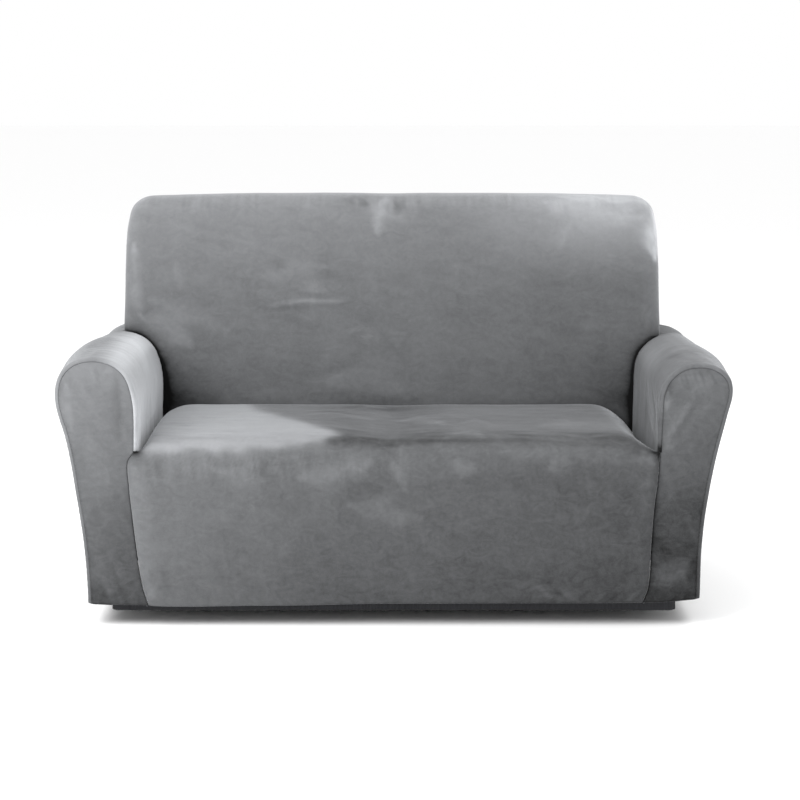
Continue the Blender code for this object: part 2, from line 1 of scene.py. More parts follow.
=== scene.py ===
# %% [markdown]
# # A stretch slipcover over a two-seat sofa
#
# The cover is sewn from flat panels of soft stretch velour and pulled tight over a sofa, so its shape is
# the sofa's own, softened: a domed seat, rolled arms and a back that turns over at the top. In this
# lesson each panel becomes a fine mesh grid whose points are worked out from short tables of sizes. The
# folds and seams are then pressed into it, and a velour finish is mixed that shows the pile's light and
# dark strokes, with painted light, painted highlights and painted shade in its grey. Cloth that hangs
# could be simulated, but a cover under tension keeps the shape it is pulled over, so measured sections
# give a truer form here and the same result each run.

import math
from collections import namedtuple
from functools import partial

import bpy
import numpy as np
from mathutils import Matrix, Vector, noise
from mathutils.kdtree import KDTree


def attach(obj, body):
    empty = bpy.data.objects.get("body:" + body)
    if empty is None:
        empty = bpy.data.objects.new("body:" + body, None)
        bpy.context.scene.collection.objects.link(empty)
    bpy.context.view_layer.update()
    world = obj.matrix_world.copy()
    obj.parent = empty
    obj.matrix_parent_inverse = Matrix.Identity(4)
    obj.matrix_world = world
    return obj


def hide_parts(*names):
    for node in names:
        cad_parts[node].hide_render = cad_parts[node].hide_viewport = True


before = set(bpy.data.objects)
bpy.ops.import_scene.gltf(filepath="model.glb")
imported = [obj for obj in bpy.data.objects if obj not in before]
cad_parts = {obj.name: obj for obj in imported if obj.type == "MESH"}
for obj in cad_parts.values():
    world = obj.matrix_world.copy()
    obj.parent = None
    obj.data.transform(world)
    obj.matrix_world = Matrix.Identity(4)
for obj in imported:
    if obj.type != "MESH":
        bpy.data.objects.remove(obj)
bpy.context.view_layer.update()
bpy.ops.object.select_all(action="DESELECT")
print("nodes:", ", ".join(sorted(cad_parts)))

# %% [markdown]
# ## The sizes
#
# All sizes are in metres, measured as x to the right, y to the back and z above the floor, with y = 0 at
# the fronts of the arms. The finished panels are moved so that the origin is under the top of the back.

# %% Driving sizes
CLOTH = 0.003  # plush stretch cloth with its pile
SEAM_GAP = 0.0010  # between the cut edges of two sewn panels
SEAT_GAP = 0.0015  # between the seat's edge and the arm's inner wall, in the tuck
CROWN_GAP = 0.0020  # between an arm's roll and the back's side
END_GAP = 0.0030  # between an arm cover's end and the inside back
TOP_GAP = 0.0014  # across the seam over the back's top, down and back
BAND_GAP = 0.0015  # between the hem and the elastic band's turn-under
BAND_FOOT = 0.034  # bottom of the elastic band above the floor
BACK_WALL = 0.850  # outer face of the outside back
BACK_SHIFT = 0.006  # how far the back sits to the left of the arms' middle
BACK_EDGE = 0.044  # rounding of the back's front edges
BACK_FLAT = 0.667  # half the width of the back's flat front
BACK_ARCH = 0.007  # how much lower the back's top is towards its ends
REAR_EDGE = 0.032  # rounding of the rear corners
FACING_EDGE = 0.009  # rounding between an arm cover and its facing
FACING_CROWN = 0.008  # how far the arm facing stands proud at its middle
ARM_DROP = 0.0262  # how much lower the arm's roll is at its rear end
DROP_FROM, DROP_TO = 0.280, 0.800  # how far back the roll starts and ends its fall
ARM_LEVEL = 0.580  # how far back the roll meets the inside back
ARM_PUFF = 0.010  # how far the roll swells out behind its front edge
PUFF_RISE, PUFF_FALL = 0.190, 0.480  # how far back the swelling is full, and where it ends
PUFF_LOW, PUFF_HIGH = 0.50, 0.61  # the heights between which the swelling grows to its full size
DROP_LOW, DROP_HIGH = 0.45, 0.62  # the heights between which the fall grows to its full size
TUCK = 0.372  # how deep the cloth is tucked beside and behind the seat
TUCK_FRONT = 0.428  # where the tuck ends at the front corner of the seat
TUCK_RISE = 0.140  # depth over which the tuck comes up to the front corner
MOUNT_BACK = 0.730  # top of the sofa's back under the cover
MOUNT_HEIGHT = 0.981
ORIGIN = np.array((0.0, MOUNT_BACK, MOUNT_HEIGHT))  # what the panels are moved by


def table(kind, *rows):
    """A table whose rows are of this kind, from their plain numbers."""
    return tuple(kind(*row) for row in rows)


# The bottom hem's height across the front, from left to right.
HemRow = namedtuple("HemRow", "across height")
HEM = table(
    HemRow,
    (-0.740, 0.056), (-0.640, 0.053), (-0.520, 0.049), (-0.300, 0.052), (0.000, 0.057),
    (0.400, 0.058), (0.620, 0.059), (0.740, 0.068),
)

print("the cover stands", MOUNT_HEIGHT, "m high at its mount and is", CLOTH, "m thick")

# %% The arms
# An arm's section from the outer hem over the roll to the tuck beside the seat.
ArmRow = namedtuple("ArmRow", "outward height")
LEFT_ARM = table(
    ArmRow,
    (0.7345, 0.056), (0.7370, 0.140), (0.7435, 0.222), (0.7575, 0.326), (0.7670, 0.396),
    (0.7785, 0.459), (0.7925, 0.508), (0.8010, 0.557), (0.7920, 0.604), (0.7640, 0.637),
    (0.7280, 0.6505), (0.6900, 0.6500), (0.6540, 0.6370), (0.6270, 0.6100), (0.6125, 0.5700),
    (0.6060, 0.5250), (0.6060, 0.4750), (0.6075, 0.4250), (0.6075, 0.3600),
)
RIGHT_ARM = table(
    ArmRow,
    (0.7348, 0.068), (0.7352, 0.140), (0.7385, 0.222), (0.7510, 0.326), (0.7620, 0.392),
    (0.7750, 0.450), (0.7890, 0.508), (0.8014, 0.566), (0.7930, 0.604), (0.7640, 0.6285),
    (0.7280, 0.6370), (0.6920, 0.6330), (0.6620, 0.6165), (0.6400, 0.5900), (0.6300, 0.5570),
    (0.6280, 0.5150), (0.6265, 0.4700), (0.6255, 0.4250), (0.6255, 0.3600),
)
INNER_SHOULDER = 12 / 18  # the share of the section at which its inner wall begins
OVER_FROM, OVER_TO = 0.40, 0.65  # the shares between which it passes over the back's side


# Seam between an arm facing and the apron, on the plane of the facings, from the hem upwards.
SeamRow = namedtuple("SeamRow", "outward height")
LEFT_SEAM = table(
    SeamRow,
    (0.5880, 0.050), (0.6010, 0.096), (0.6092, 0.148), (0.6166, 0.208), (0.6235, 0.280),
    (0.6298, 0.355), (0.6308, 0.402), (0.6125, 0.428),
)
RIGHT_SEAM = table(
    SeamRow,
    (0.5965, 0.059), (0.6085, 0.096), (0.6128, 0.148), (0.6156, 0.208), (0.6198, 0.280),
    (0.6270, 0.355), (0.6302, 0.402), (0.6300, 0.428),
)

Side = namedtuple("Side", "name sign arm seam back_shift drop")
LEFT = Side("left", -1, LEFT_ARM, LEFT_SEAM, BACK_SHIFT, 0.95)
RIGHT = Side("right", 1, RIGHT_ARM, RIGHT_SEAM, -BACK_SHIFT, 0.60)

print("arm rows:", len(LEFT_ARM), "and", len(RIGHT_ARM))

# %% The seat and the apron
# The seat from the tuck behind it to its front roll: the line on the middle of the sofa, how wide its
# flat part is on each side, where its rounded edge would come to a corner, and how far back the row
# reaches the tuck beside the seat.
SeatRow = namedtuple("SeatRow", "back height left_flat right_flat left_edge right_edge tuck_back")
SEAT_ROWS = table(
    SeatRow,
    (0.5590, 0.3730, 0.540, 0.520, 0.590, 0.590, 0.5570),
    (0.5510, 0.4120, 0.525, 0.510, 0.580, 0.575, 0.5440),
    (0.5330, 0.4440, 0.520, 0.505, 0.578, 0.570, 0.5260),
    (0.4950, 0.4570, 0.530, 0.510, 0.588, 0.575, 0.4940),
    (0.4200, 0.4600, 0.555, 0.520, 0.598, 0.582, 0.4250),
    (0.3300, 0.4610, 0.566, 0.524, 0.601, 0.585, 0.3350),
    (0.2400, 0.4610, 0.568, 0.526, 0.602, 0.588, 0.2450),
    (0.1600, 0.4600, 0.569, 0.530, 0.602, 0.592, 0.1700),
    (0.1000, 0.4570, 0.570, 0.538, 0.602, 0.600, 0.1150),
    (0.0620, 0.4510, 0.570, 0.548, 0.602, 0.608, 0.0750),
    (0.0320, 0.4400, 0.571, 0.558, 0.600, 0.613, 0.0420),
    (0.0100, 0.4230, 0.573, 0.568, 0.602, 0.619, 0.0130),
    (0.0020, 0.4120, 0.575, 0.573, 0.606, 0.624, 0.0040),
)

# The apron from the front roll to the hem, down to the seam beside the arm facing.
ApronRow = namedtuple("ApronRow", "back height left_flat right_flat seam_height")
APRON_ROWS = table(
    ApronRow,
    (-0.0050, 0.4000, 0.578, 0.578, 0.428),
    (-0.0140, 0.3710, 0.586, 0.584, 0.402),
    (-0.0180, 0.3250, 0.590, 0.586, 0.355),
    (-0.0190, 0.2620, 0.586, 0.582, 0.280),
    (-0.0180, 0.2000, 0.580, 0.578, 0.208),
    (-0.0150, 0.1450, 0.573, 0.576, 0.148),
    (-0.0100, 0.0950, 0.565, 0.572, 0.096),
    (-0.0040, 0.0500, 0.556, 0.564, 0.050),
)

print("seat rows:", len(SEAT_ROWS), "apron rows:", len(APRON_ROWS))

# %% The back
# The inside back's line on the middle of the sofa, from the tuck up its face and over the top.
LineRow = namedtuple("LineRow", "back height")
BACK_LINE = table(
    LineRow,
    (0.5600, 0.372), (0.5630, 0.450), (0.5710, 0.550), (0.5840, 0.655), (0.5920, 0.715),
    (0.6000, 0.765), (0.6100, 0.825), (0.6210, 0.880), (0.6340, 0.925), (0.6530, 0.960),
    (0.6850, 0.981), (0.7250, 0.988), (0.7650, 0.984), (0.7960, 0.970), (0.8140, 0.950),
)

# The inside back above the arms: its line on the middle of the sofa, half the width of its flat part,
# and where the row meets the seam with the side return.
BackRow = namedtuple("BackRow", "back height flat_half side_out side_back side_height")
BACK_ROWS = table(
    BackRow,
    (0.5925, 0.718, 0.664, 0.7065, 0.6290, 0.6520),
    (0.6010, 0.772, 0.664, 0.7045, 0.6400, 0.7120),
    (0.6100, 0.825, 0.663, 0.7035, 0.6520, 0.7780),
    (0.6210, 0.880, 0.661, 0.7025, 0.6690, 0.8380),
    (0.6340, 0.925, 0.655, 0.7010, 0.6920, 0.8840),
    (0.6530, 0.960, 0.645, 0.6990, 0.7190, 0.9080),
    (0.6850, 0.981, 0.636, 0.6985, 0.7430, 0.9205),
    (0.7250, 0.988, 0.631, 0.6980, 0.7610, 0.9250),
    (0.7650, 0.984, 0.630, 0.6975, 0.7770, 0.9270),
    (0.7960, 0.970, 0.631, 0.6970, 0.7890, 0.9285),
    (0.8140, 0.950, 0.634, 0.6965, 0.7990, 0.9300),
)


# The outside back's line on the middle of the sofa, and its rows above the arms.
REAR_LINE = table(
    LineRow,
    (0.8500, 0.040), (0.8500, 0.640), (0.8480, 0.730), (0.8430, 0.810), (0.8350, 0.870),
    (0.8260, 0.915), (0.8140, 0.950),
)

# The outside back's rows above the arms: their height on the middle of the sofa and at the rear corner.
RearRow = namedtuple("RearRow", "height corner_height")
REAR_ROWS = table(
    RearRow,
    (0.700, 0.620), (0.748, 0.700), (0.792, 0.758), (0.831, 0.805), (0.864, 0.838), (0.888, 0.860),
    (0.905, 0.875), (0.918, 0.886), (0.929, 0.896), (0.940, 0.907), (0.950, 0.922),
)

print("inside back rows:", len(BACK_ROWS), "outside back rows:", len(REAR_ROWS))

# %% The large folds, and how finely the tables are read
# Soft folds, each a trough along a line on the cloth: half its width, its depth and where it ends.
BACK_FOLD_AT = -0.018  # the crease pulled over the top of the back, near its middle
BACK_FOLD_LEAN = 0.30
BACK_FOLD_WIDTH = 0.040
BACK_FOLD_DEPTH = 0.007
BACK_FOLD_LOW, BACK_FOLD_HIGH = 0.830, 0.930
SEAT_DIP_WIDTH = 0.110  # the hollow in the middle of the seat
SEAT_DIP_DEPTH = 0.010
SEAT_DIP_LOW, SEAT_DIP_HIGH = 0.200, 0.420


# How finely the panels are divided.
OUTER_STEPS = 14  # an arm's outer side, up to the back's side
CROWN_STEPS = 5  # over the arm's roll
APRON_STEPS = len(APRON_ROWS) - 1
INNER_STEPS = OUTER_STEPS - APRON_STEPS  # an arm's inner wall, down to the tuck
SECTION_STEPS = OUTER_STEPS + CROWN_STEPS + INNER_STEPS
EDGE_STEPS = 3  # the rounding of an arm's front edge
ARM_STEPS = 7  # along an arm, from its front edge to the inside back
BESIDE_STEPS = 3  # along an arm's roll, beside the back
CORNER_STEPS = 4  # a rounded edge of the seat or the outside back
RETURN_STEPS = 3  # the outside back's side return
SEAT_STEPS = 8  # half the flat part of the seat
BACK_STEPS = 7  # half the flat part of the inside back
REAR_STEPS = 5  # half the flat part of the outside back

print("steps round an arm:", SECTION_STEPS)

# %% [markdown]
# ## Curves between the rows of a table
#
# A table has few rows, so that it can be read and corrected. A smooth curve through its rows gives every
# point between them. A sum of sines could do the same, but it couldn't be corrected in one place alone.

# %% Curve helpers
def ease(value, low, high):
    """0 below low and 1 above high, with a smooth step between."""
    t = min(max((value - low) / (high - low), 0.0), 1.0)
    return t * t * (3 - 2 * t)


def mix(start, end, share):
    return start + (end - start) * share


def trough(distance, half_width):
    """1 on a fold's line, falling smoothly to 0 at its edges."""
    return math.exp(-2.5 * (distance / half_width) ** 2)


def smooth_at(rows, share):
    """The point at this share of a smooth curve through a table's rows."""
    spans = len(rows) - 1
    place = min(max(share, 0.0), 1.0) * spans
    first = min(int(place), spans - 1)
    t = place - first
    before, start, end, after = (
        Vector(rows[min(max(first + step, 0), spans)]) for step in (-1, 0, 1, 2)
    )
    return 0.5 * (
        2 * start
        + (end - before) * t
        + (2 * before - 5 * start + 4 * end - after) * t**2
        + (3 * start - before - 3 * end + after) * t**3
    )


def share_until(rows, low, high, before):
    """The share between low and high at which a smooth curve's points stop meeting a condition."""
    for _ in range(40):
        middle = (low + high) / 2
        if before(smooth_at(rows, middle)):
            low = middle
        else:
            high = middle
    return (low + high) / 2


def at_height(rows, height):
    """The first value of a rising curve at this height."""
    return smooth_at(rows, share_until(rows, 0.0, 1.0, lambda point: point[1] < height))[0]


def hem_height(across):
    """The height of the bottom hem at this distance to the right of the sofa's middle."""
    for low, high in zip(HEM, HEM[1:]):
        if across <= high.across:
            return mix(low.height, high.height, ease(across, low.across, high.across))
    return HEM[-1].height


def rounded_corner(start, corner, end, t):
    """A point on the rounding that leaves start towards corner and arrives at end."""
    first = start.lerp(corner, 0.58)
    second = end.lerp(corner, 0.58)
    u = 1 - t
    return u**3 * start + 3 * u * u * t * first + 3 * u * t * t * second + t**3 * end


def round_off(across, flat, side):
    """How far a quarter round from flat to side has fallen at this distance: 0 to 1."""
    u = min(max((across - flat) / (side - flat), 0.0), 1.0)
    return 1 - math.sqrt(1 - u * u)


def grid_of(place, columns, rows):
    """The grid of the points that place gives for each column and row."""
    return np.array([[place(i, j) for i in range(columns)] for j in range(rows)])


def on_side(side, outward, back, height):
    """A point that is this far out on its own side of the middle."""
    return Vector((side.sign * outward, back, height))


def columns_across(count):
    """Columns from the right edge through the middle to the left edge, as (side, step outward)."""
    return [(RIGHT, step) for step in range(count, 0, -1)] + [(LEFT, step) for step in range(count + 1)]


print("hem in the middle at", round(hem_height(0.0), 4), "m")

# %% [markdown]
# ## Where each panel lies
#
# An arm has one section, from the hem up its outer side, over the roll and down to the tuck beside the
# seat. Sweeping it from front to back gives the arm cover, and its front outline gives the facing. Both
# are read from the same table, so their seam matches point for point, as two cut pieces have to.

# %% Arm sections
def tuck_height(back):
    """How low the tuck beside the seat reaches, this far back."""
    return mix(TUCK_FRONT, TUCK, ease(back, 0.0, TUCK_RISE))


def back_wall_out(side):
    """How far out the back's side stands where it rises from the arm."""
    return BACK_ROWS[0].side_out + side.back_shift


def arm_share(side, step, back):
    """The share of an arm's section at this step from its hem, this far back."""
    wall = back_wall_out(side) + SEAM_GAP
    over = share_until(side.arm, OVER_FROM, OVER_TO, lambda point: point[0] > wall)
    if step <= OUTER_STEPS:
        return over * step / OUTER_STEPS
    if step <= OUTER_STEPS + CROWN_STEPS:
        inwards = (step - OUTER_STEPS) / CROWN_STEPS
        return mix(INNER_SHOULDER, over, math.cos(math.radians(90 * inwards)))
    lowest = tuck_height(back)
    tuck = share_until(side.arm, INNER_SHOULDER, 1.0, lambda point: point[1] > lowest)
    return mix(INNER_SHOULDER, tuck, (step - OUTER_STEPS - CROWN_STEPS) / INNER_STEPS)


def arm_point(side, step, back, inset=0.0):
    """A point of an arm's section, outward and height, moved into the arm by inset."""
    share = arm_share(side, step, back)
    point = smooth_at(side.arm, share)
    ahead = smooth_at(side.arm, share + 0.01) - smooth_at(side.arm, share - 0.01)
    ahead.normalize()
    puff = ARM_PUFF * ease(back, 0.0, PUFF_RISE) * (1 - ease(back, PUFF_RISE, PUFF_FALL))
    inset -= puff * ease(point[1], PUFF_LOW, PUFF_HIGH)
    point = point + inset * Vector((-ahead[1], ahead[0]))
    fall = ARM_DROP * side.drop * ease(back, DROP_FROM, DROP_TO)
    point[1] -= fall * ease(point[1], DROP_LOW, DROP_HIGH)
    if step == 0:
        point[1] = hem_height(side.sign * point[0])
    return point


def edge_inset(back):
    """How far the rounded front edge draws an arm's section in, this far back."""
    if back >= FACING_EDGE:
        return 0.0
    return FACING_EDGE - math.sqrt(FACING_EDGE**2 - (FACING_EDGE - max(back, 0.0)) ** 2)


def back_face(height):
    """How far back the inside back's face lies at this height."""
    return at_height(BACK_LINE[:10], height)


def arm_end(side, step):
    """How far back this column of an arm cover runs before it meets or passes the inside back."""
    outward, height = arm_point(side, max(step, OUTER_STEPS), ARM_LEVEL)
    fall = round_off(outward, BACK_FLAT + side.back_shift, back_wall_out(side))
    return back_face(height) + BACK_EDGE * fall - END_GAP


def arm_cover_grids(side):
    ends = [arm_end(side, step) for step in range(SECTION_STEPS + 1)]

    def before_back(i, j):
        if j < EDGE_STEPS:
            angle = math.radians(90 * j / EDGE_STEPS)
            back = FACING_EDGE * (1 - math.cos(angle))
            outward, height = arm_point(side, i, back, FACING_EDGE * (1 - math.sin(angle)))
        else:
            back = mix(FACING_EDGE, ends[i], (j - EDGE_STEPS) / ARM_STEPS)
            outward, height = arm_point(side, i, back)
        return on_side(side, outward, back, height)

    def beside_back(i, j):
        back = mix(ends[i], BACK_WALL - REAR_EDGE - SEAM_GAP, j / BESIDE_STEPS)
        outward, height = arm_point(side, i, back)
        return on_side(side, outward, back, height)

    whole = grid_of(before_back, SECTION_STEPS + 1, EDGE_STEPS + ARM_STEPS + 1)
    beside = grid_of(beside_back, OUTER_STEPS + 1, BESIDE_STEPS + 1)
    outer = np.concatenate([whole[:, : OUTER_STEPS + 1], beside[1:]])
    return outer, whole[:, OUTER_STEPS - 1 :]


def facing_border(side, step, outer):
    """A point of an arm facing's border: up its outer or its inner side, at this step from the hem."""
    inset = FACING_EDGE + SEAM_GAP
    if outer:
        return arm_point(side, step, 0.0, inset)
    if step < APRON_STEPS:
        outward, height = apron_seam(side, APRON_ROWS[APRON_STEPS - step])
        return Vector((outward + SEAM_GAP, height))
    return arm_point(side, SECTION_STEPS - (step - APRON_STEPS), 0.0, inset)


def arm_facing_grid(side):
    def place(i, j):
        across = i / CROWN_STEPS
        if j < OUTER_STEPS:
            outward, height = facing_border(side, j, False).lerp(facing_border(side, j, True), across)
        else:
            step = OUTER_STEPS + CROWN_STEPS - i
            outward, height = arm_point(side, step, 0.0, FACING_EDGE + SEAM_GAP)
        crown = FACING_CROWN * math.sin(math.pi * across)
        crown *= ease(height, 0.03, 0.14) * ease(OUTER_STEPS - j, -0.5, 3.5)
        if j == 0:
            height = hem_height(side.sign * outward)
        if j == OUTER_STEPS:
            crown = 0.0
        return on_side(side, outward, -crown, height)

    return grid_of(place, CROWN_STEPS + 1, OUTER_STEPS + 1)


arm_coarse = {side.name: arm_cover_grids(side) for side in (LEFT, RIGHT)}
print("left arm grids:", [grid.shape for grid in arm_coarse["left"]])

# %% Seat and apron
def apron_seam(side, row):
    """Where this row of the apron meets its side seam: outward and height."""
    outward = at_height(side.seam, row.seam_height)
    if row is APRON_ROWS[-1]:
        return Vector((outward, hem_height(side.sign * outward)))
    return Vector((outward, row.seam_height))


def seat_seam(side, row):
    """Where this row of the seat or the apron meets its side seam."""
    if isinstance(row, ApronRow):
        outward, height = apron_seam(side, row)
        return Vector((outward, 0.0, height))
    inset = edge_inset(row.tuck_back)
    outward, height = arm_point(side, SECTION_STEPS, row.tuck_back, inset)
    return Vector((outward - SEAT_GAP, row.tuck_back, height))


def seat_grid():
    columns = columns_across(SEAT_STEPS + CORNER_STEPS)
    rows = SEAT_ROWS + APRON_ROWS

    def place(i, j):
        side, step = columns[i]
        row = rows[j]
        flat = Vector((row.left_flat if side is LEFT else row.right_flat, row.back, row.height))
        if step <= SEAT_STEPS:
            point = Vector((flat.x * step / SEAT_STEPS, row.back, row.height))
            dip = SEAT_DIP_DEPTH * trough(point.x, SEAT_DIP_WIDTH)
            dip *= ease(row.height, SEAT_DIP_LOW, SEAT_DIP_HIGH) * ease(0.54 - row.back, 0.0, 0.10)
            on_top = ease(row.back, -0.01, 0.10)
            point.z -= dip * on_top
            point.y += dip * (1 - on_top)
        else:
            seam = seat_seam(side, row)
            if isinstance(row, ApronRow):
                corner = Vector((seam.x, row.back, mix(row.height, seam.z, 0.5)))
            else:
                corner = Vector((row.left_edge if side is LEFT else row.right_edge, row.back, row.height))
            point = rounded_corner(flat, corner, seam, (step - SEAT_STEPS) / CORNER_STEPS)
        if row is APRON_ROWS[-1]:
            point.z = hem_height(side.sign * point.x)
        return on_side(side, *point)

    return grid_of(place, len(columns), len(rows))


seat_coarse = seat_grid()
print("seat and apron grid:", seat_coarse.shape)

# %% Inside back
BACK_CORNER = CORNER_STEPS + RETURN_STEPS  # the same division as the outside back's, along their seam
UNDER_CROWN = OUTER_STEPS + 1  # the column of the arm under which its last row beside the roll ends
UNDER_DEPTH = 0.0045  # how deep under the arm's cloth that row lies
BELOW_CROWN = INNER_STEPS + 2  # the number of rows beside and under the arms
FLAT_MARGIN = 0.03  # the least width of the rounded edge beside an arm
BESIDE_TOP = 0.690  # the height that these rows rise towards on the middle of the sofa
RETURN_DEPTH = 0.010  # the least depth of the side return
REAR_HEM = 0.055  # where the outside back's lowest row is on the middle of the sofa


def crown_height(side, back):
    """The height of the arm's roll beside the back, this far back."""
    return arm_point(side, OUTER_STEPS, back)[1]


def side_seam(side, row):
    """Where this row of the inside back meets the side return."""
    if row is not BACK_ROWS[0]:
        return Vector((row.side_out + side.back_shift, row.side_back, row.side_height))
    height = crown_height(side, row.side_back) + CROWN_GAP
    return Vector((back_wall_out(side), back_face(height) + BACK_EDGE, height))


def row_across(flat, side, step, flat_steps, corner_steps):
    """The distance from the middle at this column of a row with a flat part and a rounded edge."""
    if step <= flat_steps:
        return flat * step / flat_steps
    return mix(flat, side, math.sin(math.radians(90 * (step - flat_steps) / corner_steps)))


def upper_back_point(side, row, step, flat_steps):
    """A point of a row of the inside back above the arms."""
    seam = side_seam(side, row)
    flat = row.flat_half + side.back_shift
    across = row_across(flat, seam.x, step, flat_steps, BACK_CORNER)
    fall = round_off(across, flat, seam.x)
    number = BACK_ROWS.index(row)
    slope = mix((across / seam.x) ** 2, fall, ease(number, 0, 4))
    height = mix(row.height, seam.z, slope)
    if number < 4:
        back = back_face(height) + (seam.y - back_face(seam.z)) * fall
    else:
        back = mix(row.back, seam.y, fall)
    height -= BACK_ARCH * min(across / flat, 1.0) ** 4 * ease(number, 2, 6) * (1 - fall)
    return Vector((across, back, height))


def lower_back_point(side, j, step):
    """A point of a row of the inside back beside the arm."""
    beside = UNDER_CROWN if j > INNER_STEPS else SECTION_STEPS - j
    edge, edge_height = arm_point(side, beside, ARM_LEVEL, UNDER_DEPTH if j > INNER_STEPS else CLOTH)
    flat = min(BACK_FLAT + side.back_shift, edge - FLAT_MARGIN)
    if step <= BACK_STEPS:
        across = flat * step / BACK_STEPS
    else:
        across = mix(flat, edge, (step - BACK_STEPS) / BACK_CORNER)
    height = mix(mix(TUCK, BESIDE_TOP, j / BELOW_CROWN), edge_height, (across / edge) ** 2)
    fall = round_off(across, BACK_FLAT + side.back_shift, back_wall_out(side))
    return Vector((across, back_face(height) + BACK_EDGE * fall, height))


def inside_back_grid():
    columns = columns_across(BACK_STEPS + BACK_CORNER)

    def place(i, j):
        side, step = columns[i]
        if j < BELOW_CROWN:
            point = lower_back_point(side, j, step)
        else:
            point = upper_back_point(side, BACK_ROWS[j - BELOW_CROWN], step, BACK_STEPS)
        line = BACK_FOLD_AT + BACK_FOLD_LEAN * (point.z - 0.94)
        fold = BACK_FOLD_DEPTH * trough(side.sign * point.x - line, BACK_FOLD_WIDTH)
        fold *= ease(point.z, BACK_FOLD_LOW, BACK_FOLD_HIGH)
        on_top = ease(point.y, 0.64, 0.70)
        point.y += fold * (1 - on_top)
        point.z -= 0.2 * fold * on_top * ease(0.80 - point.y, 0.0, 0.05)
        return on_side(side, *point)

    return grid_of(place, len(columns), BELOW_CROWN + len(BACK_ROWS))


back_coarse = inside_back_grid()
print("inside back grid:", back_coarse.shape)

# %% Outside back
def top_seam_point(side, step, flat_steps):
    """A point of the outside back's edge at the seam over the back's top."""
    corner = max(step - flat_steps, 0) / BACK_CORNER
    gap = mix(TOP_GAP, 2 * TOP_GAP, corner)
    return upper_back_point(side, BACK_ROWS[-1], step, flat_steps) + Vector((0.0, gap, -gap))


def corner_point(side, j):
    """A point of the line where the outside back turns forward, or meets the arm cover's end."""
    if j < OUTER_STEPS:
        outward, height = arm_point(side, j, BACK_WALL - REAR_EDGE)
        return Vector((outward, BACK_WALL - REAR_EDGE, height))
    number = j - OUTER_STEPS
    row = BACK_ROWS[number]
    outward = row.side_out + side.back_shift
    if number == 0:
        height = crown_height(side, BACK_WALL - REAR_EDGE) + CROWN_GAP
        return Vector((outward, BACK_WALL - REAR_EDGE, height))
    back = at_height(REAR_LINE, REAR_ROWS[number].height) - REAR_EDGE
    return Vector((outward, max(back, row.side_back + RETURN_DEPTH), REAR_ROWS[number].corner_height))


def rear_point(side, j, step):
    """A point of the outside back's rear, up to the line where it turns forward."""
    corner = corner_point(side, j)
    above = j - OUTER_STEPS
    if above < 0:
        middle = mix(REAR_HEM, REAR_ROWS[0].height, j / OUTER_STEPS)
    else:
        middle = REAR_ROWS[above].height
    turned = max(step - REAR_STEPS, 0) / CORNER_STEPS
    flat = corner.x - REAR_EDGE
    across = row_across(flat, corner.x, step, REAR_STEPS, CORNER_STEPS)
    height = mix(middle, corner.z, (across / corner.x) ** (2 if above < 3 else 6))
    if j == 0:
        height = hem_height(side.sign * across)
    rear = at_height(REAR_LINE, height)
    return Vector((across, mix(corner.y, rear, math.cos(math.radians(90 * turned))), height))


def return_point(side, number, step):
    """A point of the side return, from the rear corner forward to the inside back's edge."""
    row = BACK_ROWS[number]
    before, after = BACK_ROWS[max(number - 1, 0)], BACK_ROWS[min(number + 1, len(BACK_ROWS) - 1)]
    along = Vector((0.0, after.side_back - before.side_back, after.side_height - before.side_height))
    along.normalize()
    gap = mix(SEAM_GAP, 2 * SEAM_GAP, ease(number, 5, 8))
    seam = side_seam(side, row) + gap * Vector((0.0, along.z, -along.y))
    point = corner_point(side, OUTER_STEPS + number).lerp(seam, step / RETURN_STEPS)
    if number == 0:
        point.z = crown_height(side, point.y) + CROWN_GAP
    return point


def outside_back_grids():
    columns = columns_across(REAR_STEPS + CORNER_STEPS)
    last = len(BACK_ROWS) - 1

    def on_rear(i, j):
        side, step = columns[i]
        top = j == OUTER_STEPS + last
        point = top_seam_point(side, step, REAR_STEPS) if top else rear_point(side, j, step)
        return on_side(side, *point)

    def on_return(side, i, j):
        if j == last:
            point = top_seam_point(side, REAR_STEPS + CORNER_STEPS + i, REAR_STEPS)
        else:
            point = return_point(side, j, i)
        return on_side(side, *point)

    rear = grid_of(on_rear, len(columns), OUTER_STEPS + last + 1)
    right, left = (grid_of(partial(on_return, side), RETURN_STEPS + 1, last + 1) for side in (RIGHT, LEFT))
    return rear, right, left


rear_coarse = outside_back_grids()
print("outside back grids:", [grid.shape for grid in rear_coarse])

# %% [markdown]
# ## From a coarse table to fine cloth
#
# The solids need few faces, but cloth needs many, or its folds look cut with an axe. Each coarse grid is
# read again through smooth curves, first along one way and then the other. A Subdivision Surface
# modifier would also smooth it, but it pulls the edges in, and the panels have to meet at their seams.

# %% Smooth grids
CELL = 0.0057  # size of a cell of the cloth that is seen
REAR_CELL = 0.0085  # coarser behind, where the cloth has no folds
FACING_CELL = 0.0034  # finer on the small fronts of the arms
BORDER_SHARES = (0.22, 0.55)  # extra lines inside the first cell beside a seam


